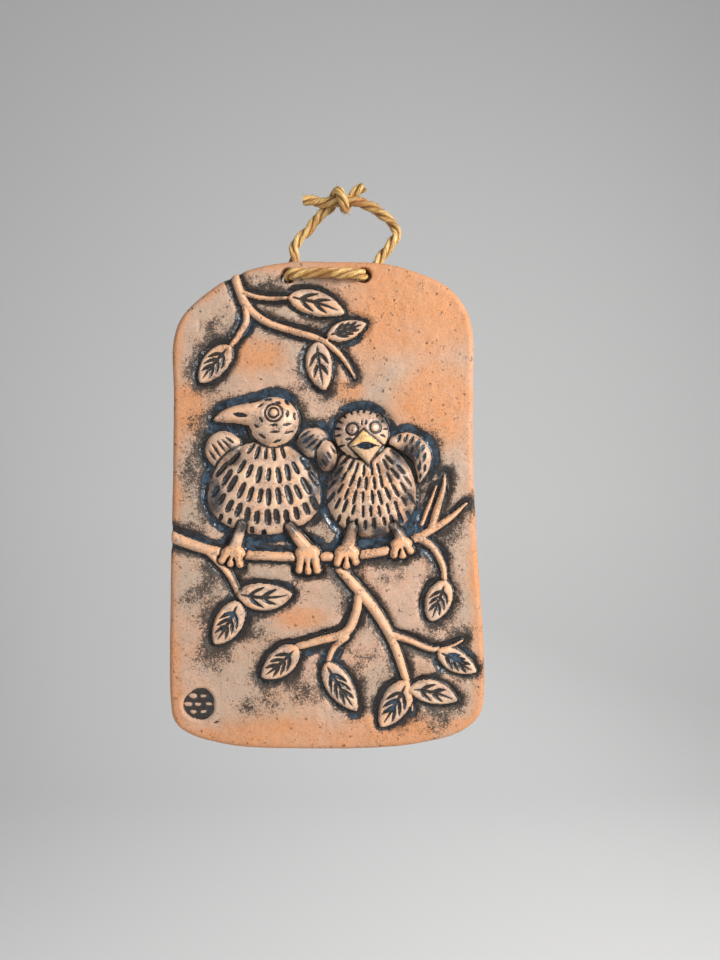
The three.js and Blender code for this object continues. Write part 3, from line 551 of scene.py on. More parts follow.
def branch_form(ground, rows, reach, power=2.2):
    """A half-round form along a line: its window, how far each place is from it, and its height."""
    line = smooth_line(rows, 0.5)
    area, away, nearest = ground.to_discs(line, reach)
    height = rounded(away, line[nearest, 2] / 2, line[nearest, 3], ground.sizes.sink / MM, power)
    return area, away, height


def leaf_frame(leaf):
    """The leaf's length, and its place at a share of that length, on its bowed line or aside of it."""
    start, end, _, bend, _ = leaf
    start, end = np.array(start, float), np.array(end, float)
    long = np.linalg.norm(end - start)
    along = (end - start) / long
    across = np.array([-along[1], along[0]])

    def place(share, aside=0.0):
        bow = bend * np.sin(np.pi * share)
        return start + along * long * share + across * (bow + aside)

    return long, place


def leaf_half(leaf, share):
    """Half the leaf's width at a share of its length: a full shoulder and a drawn-out tip."""
    swell = np.sin(np.pi * np.minimum(1, np.maximum(share, 1e-6) ** 0.8)) ** 0.8
    return leaf[2] / 2 * swell


def lay_leaf(ground, leaf):
    sizes = ground.sizes
    crest, reach = sizes.leaf_crest / MM, sizes.branch_reach / MM
    long, place = leaf_frame(leaf)
    shares = np.linspace(0, 1, int(long / 0.4))
    line = np.array([[*place(share), 2 * leaf_half(leaf, share)] for share in shares])
    area, away, nearest = ground.to_discs(line, reach)
    half = np.maximum(line[nearest, 2] / 2, 0.3)
    share = np.clip(1 + away / half, 0, 1)
    dome = -sizes.sink / MM + (crest + sizes.sink / MM) * np.clip(1 - share**4, 0, 1) ** 0.5
    rim = 0.3 * np.exp(-(((share - 0.8) / 0.12) ** 2))
    ground.lay(area, away, dome + rim, reach, crease=0.5)
    press_veins(ground, leaf, area)


def press_veins(ground, leaf, area):
    """Presses a leaf's midrib and its pairs of bowed side veins, each widest in its middle."""
    depth = ground.sizes.vein_depth / MM
    _, place = leaf_frame(leaf)
    grooves = [([place(s) for s in np.linspace(0.03, 0.9, 12)], 1.7)]
    for share in np.linspace(0.12, 0.6, leaf[4] + 1)[:-1] + 0.05:
        for side in (-1, 1):
            outer = min(share + 0.3, 0.93)
            reach = side * leaf_half(leaf, outer) * 0.74
            grooves.append(([place(share), place(share + 0.13, reach * 0.55), place(outer, reach)], 1.9))
    x, y = ground.x[area], ground.y[area]
    cut = np.zeros_like(x)
    for points, wide in grooves:
        line = smooth_line(points, 0.3)
        along = np.linspace(0, 1, len(line))
        widths = wide * (0.3 + 0.7 * np.sin(np.pi * along**0.8) ** 0.8)
        away = np.hypot(x[..., None] - line[:, 0], y[..., None] - line[:, 1]) / (widths / 2)
        share = away.min(-1)
        cut = np.maximum(cut, np.clip(1 - share**2, 0, 1) * (widths / wide)[away.argmin(-1)])
    ground.motif[area] -= depth * cut
    ground.marks[area] = np.maximum(ground.marks[area], eased(cut, 0.05, 0.45))


def egg_height(egg, share, sink):
    return -sink + (egg["crest"] + sink) * np.sqrt(np.clip(1 - share**2.4, 0, 1))


def feather_rows(name):
    """The feather strokes of a body, as capsule marks, left off where they would run over its edge."""
    egg, plumage = FORMS[name], PLUMAGE[name]
    random = np.random.default_rng(len(name))
    marks = []
    for index, (about_x, about_y, radius, first, last, step, long, wide) in enumerate(plumage["rows"]):
        stagger = step / 2 * (index % 2)
        for degrees in np.arange(first + stagger, last + 0.01, step):
            jog = random.uniform(-1, 1, 4)
            turn = math.radians(degrees + jog[0] * step * 0.12)
            out = radius + jog[1] * 0.6
            x = about_x + math.sin(turn) * out
            y = about_y - math.cos(turn) * out
            dy = y - egg["y"]
            share = math.hypot((x - egg["x"]) / egg["across"], dy / (egg["up"] if dy > 0 else egg["down"]))
            if share > STROKE_MARGIN:
                continue
            lie = math.degrees(math.atan2(y - plumage["neck"][1], x - plumage["neck"][0]))
            size = 1 + 0.15 * jog[2]
            marks.append([x, y, lie + jog[3] * 5, long * size, wide * size])
    return marks


def round_form(ground, name, reach):
    egg = FORMS[name]
    area, away, share = ground.to_egg(egg, reach)
    return area, away, egg_height(egg, share, ground.sizes.sink / MM)


def mark_form(ground, name):
    """Presses a form's own feather strokes and its eyes."""
    depth = ground.sizes.stroke_depth / MM
    if name in PLUMAGE:
        ground.press(feather_rows(name), depth, 2.2)
    ground.press(STROKES.get(name, []), depth * 0.75, 1.1)
    for eye in EYES.get(name, []):
        press_eye(ground, eye)


def lay_round(ground, name):
    """Lays one of the birds' round forms with its own strokes."""
    reach = ground.sizes.bird_reach / MM
    ground.lay(*round_form(ground, name, reach), reach, bird=True)
    mark_form(ground, name)


def press_eye(ground, eye):
    """A round boss left standing in one or two pressed rings."""
    x, y = eye["at"]
    area = ground.window((x - 6, y - 6), (x + 6, y + 6))
    from_middle = np.hypot(ground.x[area] - x, ground.y[area] - y)
    cut = np.zeros_like(from_middle)
    for radius in eye["rings"]:
        share = np.abs(from_middle - radius) / 0.62
        cut = np.maximum(cut, np.clip(1 - share**2, 0, 1) ** 0.7)
    smooth = eased(from_middle, max(eye["rings"]) + 1, max(eye["rings"]) - 0.5)
    boss = 0.35 * np.sqrt(np.clip(1 - (from_middle / 1.7) ** 2, 0, 1))
    ground.motif[area] += boss - cut
    marks = ground.marks[area] * (1 - smooth)
    ground.marks[area] = np.maximum(marks, eased(cut, 0.25, 0.8))


def lay_foot(ground, foot):
    """A leg, its broad palm and three plump toes in one, with a dark gap between the toes."""
    x, y = foot["palm"]
    crest = PALM["crest"]
    hip = foot["leg"]
    leg = [hip, [x + (hip[0] - x) * 0.3, y + 3.6, hip[2] * 1.35, crest], [x, y + 1, 5.4, crest]]
    palm = {**PALM, "x": x, "y": y, "across": foot["span"] / 2 + PALM["margin"]}
    area, away, share = ground.to_egg(palm, 3.0)
    height = -ground.sizes.sink / MM + (crest + ground.sizes.sink / MM) * np.clip(1 - share**5, 0, 1) ** 0.5
    forms = [branch_form(ground, leg, 3.0, 3.0), (area, away, height)]
    for tip in foot["tips"]:
        root = [x + (tip[0] - x) * 0.7, y - 1.4, TOE["width"], TOE["crest"]]
        forms.append(branch_form(ground, [root, [*tip, TOE["tip"], TOE["crest"] * 0.8]], 3.0, 3.0))
    away = ground.lay_together(forms, 3.0, bird=True)
    low = eased(ground.y, y + 5, y + 1.5)
    ground.warm = np.maximum(ground.warm, eased(away, 0.6, 0) * low)
    gaps = []
    for first, second in zip(foot["tips"], foot["tips"][1:]):
        between = ((first[0] + second[0]) / 2, (first[1] + second[1]) / 2)
        degrees = math.degrees(math.atan2(between[1] - y - 1, between[0] - x))
        gaps.append([between[0] * 0.75 + x * 0.25, between[1] * 0.75 + y * 0.25, degrees, 4.6, 1.2])
    ground.press(gaps, 1.3, 1.2)


def lay_lozenge(ground):
    """The open beak of the right bird: two sloping halves, with the mouth sunk between them."""
    corners = np.array(LOZENGE["corners"], float)
    area = ground.window(corners.min(0) - 5, corners.max(0) + 5)
    x, y = ground.x[area], ground.y[area]
    away = np.full(x.shape, -99.0)
    for start, end in zip(corners, np.roll(corners, -1, axis=0)):
        edge = (end - start) / np.linalg.norm(end - start)
        away = np.maximum(away, (x - start[0]) * edge[1] - (y - start[1]) * edge[0])
    sink = ground.sizes.sink / MM
    crest = LOZENGE["crest"]
    height = crest - 1.3 + np.clip(-away, 0, 4) * 0.35
    height = np.where(away > -0.7, height - (away + 0.7) * 3.2, height)
    ground.lay(area, away, np.maximum(height, -sink), 3.0, bird=True)
    upper = eased(y, 24.4, 26.6)
    ground.honey[area] = np.maximum(ground.honey[area], eased(away, 0.3, -0.6) * (0.25 + 0.75 * upper))
    x, y = MOUTH["at"]
    area = ground.window((x - 8, y - 4), (x + 8, y + 4))
    dx, dy = ground.x[area] - x, ground.y[area] - y
    lens = np.abs(dx) / (MOUTH["length"] / 2)
    lips = MOUTH["width"] / 2 * np.clip(1 - lens**1.6, 0, 1)
    share = np.abs(dy) / np.maximum(lips, 0.05)
    cut = np.where(lens < 1, np.clip(1 - share**2, 0, 1) ** 0.6, 0)
    ground.motif[area] -= 1.1 * cut
    ground.honey[area] *= 1 - eased(cut, 0.1, 0.5)
    ground.press([[x, y - 0.1, 2, 13.2, 0.9]], 0.8, 1.2)
    lips_dark = 0.9 * eased(cut, 0.05, 0.3) * eased(cut, 0.9, 0.6)
    ground.marks[area] = np.maximum(ground.marks[area] * (1 - cut), lips_dark)
    ground.mouth[area] = eased(cut, 0.55, 0.85)


def press_stamp(ground):
    """A sunken roundel in the corner, filled with rows of short plain strokes that stand up in it."""
    x, y = STAMP["at"]
    radius, depth = STAMP["radius"], STAMP["depth"]
    area = ground.window((x - radius - 3, y - radius - 3), (x + radius + 3, y + radius + 3))
    dx, dy = ground.x[area] - x, ground.y[area] - y
    from_middle = np.hypot(dx, dy) + 0.25 * np.sin(3 * np.arctan2(dy, dx) + 1)
    bowl = depth * eased(from_middle, radius + 0.3, radius - 0.7)
    rim = 0.3 * np.exp(-(((from_middle - radius - 0.6) / 0.7) ** 2))
    raised = np.zeros_like(bowl)
    strokes = STAMP_STROKES
    for height, count in strokes["rows"]:
        for index in range(count):
            middle = (index - (count - 1) / 2) * strokes["apart"]
            past_end = np.maximum(np.abs(dx - middle) - strokes["long"], 0)
            share = np.hypot(past_end, dy - height) / strokes["wide"]
            raised = np.maximum(raised, depth * strokes["rise"] * np.clip(1 - share**2, 0, 1) ** 0.5)
    ground.pressed[area] = np.maximum(ground.pressed[area], 0) + bowl - raised * (bowl > 0) - rim
    ground.stamp[area] = eased(from_middle, radius + 0.4, radius - 0.6)


def laid_relief(slab, sizes):
    """The whole relief: every motif laid in its order on the ground, from the back to the front."""
    ground = Ground(slab.spacing / MM, sizes)
    reach, bird_reach = sizes.branch_reach / MM, sizes.bird_reach / MM
    away = ground.lay_together([branch_form(ground, rows, reach) for rows in BRANCHES.values()], reach)
    ground.warm = np.maximum(ground.warm, eased(away, 0.8, 0) * 0.75)
    for leaf in LEAVES:
        lay_leaf(ground, leaf)
    for name in ("left wing", "inner wing"):
        lay_round(ground, name)
    ground.lay(*branch_form(ground, LIMBS["right wing"], bird_reach, 3.2), bird_reach, bird=True)
    mark_form(ground, "right wing")
    for name in ("left body", "right body", "right inner wing"):
        lay_round(ground, name)
    for foot in FEET:
        lay_foot(ground, foot)
    beak = branch_form(ground, LIMBS["left beak"], bird_reach, 2.6)
    ground.lay_together([round_form(ground, "left head", bird_reach), beak], bird_reach, bird=True)
    area, away, _ = beak
    glow = eased(away, 0.6, 0) * 0.4 * eased(ground.x[area], -24, -34)
    ground.warm[area] = np.maximum(ground.warm[area], glow)
    ground.press(STROKES["left beak"], sizes.stroke_depth / MM * 0.8, 1.1)
    mark_form(ground, "left head")
    lay_round(ground, "right head")
    lay_lozenge(ground)
    press_stamp(ground)
    return ground


def settled_heights(ground):
    """The finished surface: motifs over pressed ground, slumped, waved and knocked about a little."""
    spacing, sizes, shape = ground.spacing, ground.sizes, ground.x.shape
    pressed = blurred(ground.pressed, 0.45, spacing)
    inside = eased(blurred((ground.motif > -2).astype(float), 0.4, spacing), 0.1, 0.6)
    plain = 1 - inside
    height = np.maximum(-pressed, ground.motif)
    height = blurred(height, sizes.softness / MM, spacing)
    wave = sizes.unevenness / MM
    height += wave * 0.8 * rough_field(shape, 7.0, spacing, 3)
    near = eased(ground.beside, 7, 1)
    height += wave * (0.14 + plain * (0.16 + 0.3 * near)) * rough_field(shape, 1.1, spacing, 5)
    height += wave * (0.1 + plain * (0.1 + 0.12 * near)) * rough_field(shape, 0.4, spacing, 8)
    for x, y, degrees, long, wide, depth in KNOCKS:
        turn = math.radians(degrees)
        dx, dy = ground.x - x, ground.y - y
        along = dx * math.cos(turn) + dy * math.sin(turn)
        aside = dy * math.cos(turn) - dx * math.sin(turn)
        share = np.hypot(along / (long / 2), aside / (wide / 2))
        height -= depth * np.clip(1 - share**2, 0, 1)
    return height


# ------------------------------------------------------------------ the slab's mesh


def distance_inside(ground, line):
    """How far each place is inside a closed line; negative outside."""
    starts, ends = line, np.roll(line, -1, axis=0)
    made = np.empty_like(ground.x)
    for j in range(0, len(ground.ys), 24):
        rows = slice(j, j + 24)
        px, py = ground.x[rows][..., None], ground.y[rows][..., None]
        sx, sy = starts[:, 0], starts[:, 1]
        ex, ey = ends[:, 0] - sx, ends[:, 1] - sy
        share = np.clip(((px - sx) * ex + (py - sy) * ey) / (ex**2 + ey**2), 0, 1)
        away = np.hypot(px - sx - share * ex, py - sy - share * ey).min(-1)
        rises = (sy > py) != (ends[:, 1] > py)
        crossing = sx + (py - sy) / np.where(ey == 0, 1e-9, ey) * ex
        odd = ((px < crossing) & rises).sum(-1) % 2 == 1
        made[rows] = np.where(odd, away, -away)
    return made


def cut_out(ground, height, inside):
    """The grid's triangles where inside is positive, cut along its zero line: points and triangles."""
    slope_y, slope_x = np.gradient(inside, ground.spacing)
    steep = np.maximum(np.hypot(slope_x, slope_y), 1e-6)
    near = np.abs(inside) < ground.spacing * 0.3
    x = np.where(near, ground.x - inside * slope_x / steep**2, ground.x).ravel()
    y = np.where(near, ground.y - inside * slope_y / steep**2, ground.y).ravel()
    points = np.stack([x, y, height.ravel()], axis=-1)
    keep = np.where(near, 0, inside).ravel()
    rows, columns = ground.x.shape
    corner = (np.arange(rows - 1)[:, None] * columns + np.arange(columns - 1)).ravel()
    lower = np.stack([corner, corner + 1, corner + columns + 1], axis=-1)
    upper = np.stack([corner, corner + columns + 1, corner + columns], axis=-1)
    triangles = np.vstack([lower, upper])
    within = keep[triangles] >= 0
    count = within.sum(1)
    whole = triangles[(count == 3) & (keep[triangles].max(1) > 0)]

    def turned(chosen, first):
        order = (first[:, None] + np.arange(3)) % 3
        return np.take_along_axis(triangles[chosen], order, 1)

    one = turned(count == 1, within[count == 1].argmax(1))
    two = turned(count == 2, within[count == 2].argmin(1))
    crossed = np.vstack([one[:, [0, 1]], one[:, [0, 2]], two[:, [2, 0]], two[:, [1, 0]]])
    crossed.sort(axis=1)
    pairs, where = np.unique(crossed, axis=0, return_inverse=True)
    where = where.ravel()
    first, second = keep[pairs[:, 0]], keep[pairs[:, 1]]
    share = (first / (first - second))[:, None]
    added = points[pairs[:, 0]] * (1 - share) + points[pairs[:, 1]] * share
    index = len(points) + np.arange(len(pairs))
    index = np.where(first == 0, pairs[:, 0], np.where(second == 0, pairs[:, 1], index))
    at = index[where]
    n, m = len(one), len(two)
    a, b, c, d = at[:n], at[n : 2 * n], at[2 * n : 2 * n + m], at[2 * n + m :]
    cut = np.vstack([
        np.stack([one[:, 0], a, b], axis=-1),
        np.stack([two[:, 1], two[:, 2], c], axis=-1),
        np.stack([two[:, 1], c, d], axis=-1),
    ])
    cut = cut[(cut[:, 0] != cut[:, 1]) & (cut[:, 1] != cut[:, 2]) & (cut[:, 2] != cut[:, 0])]
    faces = np.vstack([whole, cut])
    used, faces = np.unique(faces, return_inverse=True)
    return np.vstack([points, added])[used], faces.reshape(-1, 3)


def open_loops(faces):
    """The loops of edges that only one triangle has, each as a row of points in that triangle's direction."""
    edges = np.vstack([faces[:, [0, 1]], faces[:, [1, 2]], faces[:, [2, 0]]])
    count = int(faces.max()) + 1
    forward = edges[:, 0] * count + edges[:, 1]
    backward = edges[:, 1] * count + edges[:, 0]
    following = dict(edges[~np.isin(forward, backward)].tolist())
    loops = []
    while following:
        start, after = following.popitem()
        loop = [start]
        while after != start:
            loop.append(after)
            after = following.pop(after)
        loops.append(loop)
    return loops


def quarter(size, inset):
    """How far a rounded edge of that size has dropped at an inset from its side."""
    left = size - np.clip(inset, 0, size)
    return size - np.sqrt(np.maximum(size**2 - left**2, 0))


def side_rings(points, loop, outward, front, back, start, back_depth):
    """The rings of points round a side, from the front's loop to the back's, with both edges rounded."""
    base = points[loop]
    rings = []
    for share in np.linspace(0, 1, 7)[1:]:
        inset = start * (1 - share) ** 1.6
        ring = base.copy()
        ring[:, :2] += outward * (start - inset)
        ring[:, 2] += quarter(front, start) - quarter(front, inset)
        rings.append(ring)
    top = rings[-1][:, 2]
    for share in (0.35, 0.7, 1.0):
        ring = rings[-1].copy()
        ring[:, 2] = top * (1 - share) + (back_depth + back) * share
        rings.append(ring)
    for share in np.linspace(0, 1, 6)[1:-1]:
        inset = start * share**1.6
        ring = base.copy()
        ring[:, :2] += outward * (start - inset)
        ring[:, 2] = back_depth + quarter(back, inset)
        rings.append(ring)
    return rings


def closed_slab(ground, height, slab):
    """The front face cut to the outline and holes, with rounded sides and a back: points and triangles."""
    thickness, edge, bore = slab.thickness / MM, slab.edge / MM, slab.hole_radius / MM
    lip, start, hole_start = 0.8, 0.9, 0.5
    inside = distance_inside(ground, smooth_line(OUTLINE, 1.2, closed=True))
    keep = inside - start
    front = height - quarter(edge, inside)
    hollows = 0.12 * np.abs(rough_field(inside.shape, 4, ground.spacing, 31))
    back = -thickness + quarter(edge, inside) + hollows * eased(inside, 1.5, 6)
    for x, y in HOLES:
        from_hole = np.hypot(ground.x - x, ground.y - y) - bore
        front = front - quarter(lip, from_hole)
        back = back + quarter(lip, from_hole) - hollows * eased(from_hole, 4, 1.5)
        keep = np.minimum(keep, from_hole - hole_start)
    points, faces = cut_out(ground, front, keep)
    behind = points.copy()
    behind[:, 2] = sampled(ground, back, points)
    all_points, all_faces = [points, behind], [faces, faces[:, ::-1] + len(points)]
    total = 2 * len(points)
    for loop in open_loops(faces):
        loop = np.array(loop)
        places = points[loop][:, :2]
        near = min(HOLES, key=lambda hole: np.hypot(*(places[0] - hole)))
        if np.hypot(*(places[0] - near)) < bore * 2:
            outward = np.array(near) - places
            outward /= np.linalg.norm(outward, axis=1)[:, None]
            sizes = (lip, lip, hole_start)
        else:
            outward = outward_steps(places)
            sizes = (edge, edge, start)
        before = loop
        for ring in side_rings(points, loop, outward, *sizes, -thickness):
            now = total + np.arange(len(ring))
            all_faces.append(band(before, now))
            all_points.append(ring)
            total += len(ring)
            before = now
        all_faces.append(band(before, loop + len(points)))
    return np.vstack(all_points), np.vstack(all_faces), inside


def band(before, after):
    """Two triangles between each pair of neighbours in two matching rings."""
    a, b, c, d = before, np.roll(before, -1), after, np.roll(after, -1)
    return np.vstack([np.stack([b, a, c], axis=-1), np.stack([b, c, d], axis=-1)])


def sampled(ground, field, points):
    """A field's values at places on the plan, between its grid points."""
    x = np.clip((points[:, 0] - ground.xs[0]) / ground.spacing, 0, len(ground.xs) - 1.001)
    y = np.clip((points[:, 1] - ground.ys[0]) / ground.spacing, 0, len(ground.ys) - 1.001)
    i, j = x.astype(int), y.astype(int)
    u, v = x - i, y - j
    low = field[j, i] * (1 - u) + field[j, i + 1] * u
    high = field[j + 1, i] * (1 - u) + field[j + 1, i + 1] * u
    return low * (1 - v) + high * v


def outward_steps(places):
    """Unit steps straight out of a counter-clockwise loop, evened out over its neighbours."""
    along = np.roll(places, -3, axis=0) - np.roll(places, 3, axis=0)
    out = np.stack([along[:, 1], -along[:, 0]], axis=-1)
    out = sum(np.roll(out, shift, axis=0) for shift in range(-4, 5))
    return out / np.linalg.norm(out, axis=1)[:, None]


def mesh_of(name, points, triangles):
    mesh = bpy.data.meshes.new(name)
    mesh.vertices.add(len(points))
    mesh.vertices.foreach_set("co", np.asarray(points, np.float32).ravel())
    mesh.loops.add(len(triangles) * 3)
    mesh.loops.foreach_set("vertex_index", np.asarray(triangles, np.int32).ravel())
    mesh.polygons.add(len(triangles))
    mesh.polygons.foreach_set("loop_start", np.arange(len(triangles), dtype=np.int32) * 3)
    mesh.update(calc_edges=True)
    return mesh


def shown(name, mesh):
    piece = bpy.data.objects.new(name, mesh)
    bpy.context.scene.collection.objects.link(piece)
    return piece


def applied(piece, name):
    """The piece with its modifiers worked into a plain mesh of its own."""
    depsgraph = bpy.context.evaluated_depsgraph_get()
    mesh = bpy.data.meshes.new_from_object(piece.evaluated_get(depsgraph))
    bpy.data.objects.remove(piece)
    mesh.name = name
    return shown(name, mesh)


def thinned(piece, triangles):
    """The piece with no more than that many triangles, kept where the surface bends most."""
    thin = piece.modifiers.new("Thin out", "DECIMATE")
    thin.ratio = min(1.0, triangles / len(piece.data.polygons))
    return applied(piece, piece.name)


# ------------------------------------------------------------------ where each finish lies


def finishes(ground, height, inside):
    """How strongly each finish, painted shade and painted sheen among them, lies on each place of the front,
    from 0 to 1.
    """
    spacing, shape = ground.spacing, ground.x.shape
    fine = blurred(height, 0.55, spacing) - height
    broad = blurred(height, 1.7, spacing) - height
    cavity = eased(fine, 0.05, 0.3)
    hollow = eased(broad, 0.25, 1.0)
    on_motif = eased(blurred((ground.motif > -1.2).astype(float), 0.2, spacing), 0.25, 0.75)
    ground_part = 1 - on_motif
    beside = blurred(ground.beside, 0.4, spacing)
    # Which side of the motifs a place lies on: the upper left is away from the lights. The dark band beside
    # the motifs is oxide in the pressed ground, widened there as painted shade.
    down, across = np.gradient(blurred(ground.beside, 1.2, spacing), spacing)
    shaded_side = np.clip(0.6 * down - 0.8 * across, -1, 1)
    ragged = 0.45 * rough_field(shape, 1.0, spacing, 22) + 0.4 * rough_field(shape, 3.0, spacing, 26)
    width = 1.5 + 0.9 * shaded_side
    groove = eased(beside + ragged, width + 0.9, width - 0.6) * ground_part
    smudge = 1.2 * rough_field(shape, 5.0, spacing, 21) + 0.5 * rough_field(shape, 1.8, spacing, 27)
    smeared = soft_spots(ground, SMUDGES)
    reach = 2.7 + 1.3 * smudge.clip(-1.2, 1.6) + 3.0 * smeared
    halo = np.exp(-np.maximum(beside - 0.6, 0) / reach) * ground_part
    halo = np.maximum(halo, smeared * (0.3 + 0.22 * smudge.clip(-1, 1)) * ground_part)
    # Oxide in marks, hollows and the band beside the motifs, with the band's painted shade on the motifs'
    # upper-left side.
    soot = np.maximum(ground.marks * 0.95, np.maximum(cavity * 0.7, hollow * 0.8))
    soot = np.maximum(soot, groove)
    soot = np.maximum(soot, ground.stamp * eased(-height, 0.35, 0.8))
    pools = soft_spots(ground, GLAZE_POOLS)
    by_motif = eased(beside + 0.8 * ragged, 4.2, 1.4) * ground_part
    by_bird = eased(ground.bird + 0.5 * ragged, 4.4, 2.4) * ground_part
    glaze = pools * np.maximum(by_bird, by_motif * 0.8)
    # Blue glaze along the band on the motifs' lower-right side, towards the light: partly painted sheen.
    glaze = np.maximum(glaze, 0.45 * groove * eased(-shaded_side, -0.2, 0.6))
    glaze *= 0.35 + 0.65 * eased(beside, 0.7, 1.7)
    glaze = np.maximum(glaze, ground.marks * pools * 0.8)
    glaze = np.maximum(glaze, ground.mouth)
    raw = soft_spots(ground, RAW_PATCHES)
    edge = eased(inside + 1.6 * rough_field(shape, 5, spacing, 24), 7.0, 0.5)
    raw = np.clip(np.maximum(raw, edge * 0.8) + 0.3 * rough_field(shape, 6, spacing, 25), 0, 1)
    return {
        "raised": on_motif * (1 - 0.5 * cavity),
        "soot": soot,
        "halo": halo,
        "glaze": glaze,
        "raw": raw,
        "warm": ground.warm,
        "honey": ground.honey,
        # Dark glaze spots on the birds, partly painted shade.
        "dim": soft_spots(ground, DARK_GLAZE_AND_SHADE_SPOTS) * on_motif,
        "gloss": np.maximum(eased(ground.bird, 4, 0), groove),
    }


def spread_finishes(piece, points, ground, fields, thickness):
    """Stores each finish on the piece's points; its sides and back are raw clay."""
    front = eased(points[:, 2], -thickness * 0.55, -thickness * 0.3)
    for name, field in fields.items():
        value = sampled(ground, field, points) * front
        if name == "raw":
            value = value + (1 - front) * 0.85
        attribute = piece.data.attributes.new(name, "FLOAT", "POINT")
        attribute.data.foreach_set("value", value.astype(np.float32))


# ------------------------------------------------------------------ node graphs


class Graph:
    """Writes a node tree a line at a time."""

    def __init__(self, tree):
        self.tree = tree

    def node(self, kind, inputs=None, **settings):
        made = self.tree.nodes.new(kind)
        for name, value in settings.items():
            setattr(made, name, value)
        for name, value in (inputs or {}).items():
            self.put(self.socket(made.inputs, name), value)
        return made

    @staticmethod
    def socket(sockets, name):
        if isinstance(name, int):
            return sockets[name]
        return next(socket for socket in sockets if socket.name == name and socket.enabled)

    def put(self, socket, value):
        if isinstance(value, bpy.types.NodeSocket):
            self.tree.links.new(value, socket)
        elif isinstance(value, bpy.types.Node):
            self.tree.links.new(value.outputs[0], socket)
        else:
            socket.default_value = value

    def math(self, operation, first, second=0.0, third=0.0, clamp=False):
        made = self.node("ShaderNodeMath", {0: first, 1: second, 2: third}, operation=operation)
        made.use_clamp = clamp
        return made.outputs[0]

    def plus(self, first, second):
        return self.math("ADD", first, second)

    def times(self, first, second):
        return self.math("MULTIPLY", first, second)

    def stepped(self, value, low, high, to_low=0.0, to_high=1.0):
        """The value carried smoothly from low..high to to_low..to_high."""
        made = self.node("ShaderNodeMapRange", interpolation_type="SMOOTHSTEP")
        for name, given in (("Value", value), ("From Min", low), ("From Max", high), ("To Min", to_low),
                            ("To Max", to_high)):
            self.put(made.inputs[name], given)
        return made.outputs["Result"]

    def mixed(self, share, first, second, blend="MIX"):
        made = self.node("ShaderNodeMix", data_type="RGBA", blend_type=blend)
        self.put(made.inputs[0], share)
        self.put(made.inputs[6], first)
        self.put(made.inputs[7], second)
        return made.outputs[2]

    def mixed_value(self, share, first, second):
        made = self.node("ShaderNodeMix", data_type="FLOAT")
        self.put(made.inputs[0], share)
        self.put(made.inputs[2], first)
        self.put(made.inputs[3], second)
        return made.outputs[0]

    def noise(self, place, scale, detail=3.0, roughness=0.5, distortion=0.0):
        inputs = {"Vector": place, "Scale": scale, "Detail": detail, "Roughness": roughness}
        return self.node("ShaderNodeTexNoise", {**inputs, "Distortion": distortion}).outputs[0]

    def value_of(self, name):
        return self.node("ShaderNodeAttribute", attribute_name=name).outputs["Fac"]


def blank_material(name):
    material = bpy.data.materials.new(name)
    material.use_nodes = True
    material.node_tree.nodes.clear()
    graph = Graph(material.node_tree)
    shader = graph.node("ShaderNodeBsdfPrincipled")
    output = graph.node("ShaderNodeOutputMaterial")
    material.node_tree.links.new(shader.outputs[0], output.inputs["Surface"])
    return material, graph, shader


# Each kind of mottling on the clay: how often it repeats in a metre, its detail and its roughness.
CLAY_NOISE = {
    "clouds": (38, 4, 0.6), "glow": (75, 4, 0.6), "blotches": (120, 5, 0.65), "mottle": (430, 4, 0.6),
    "grain": (1150, 3, 0.6), "specks": (2100, 2, 0.6),
}


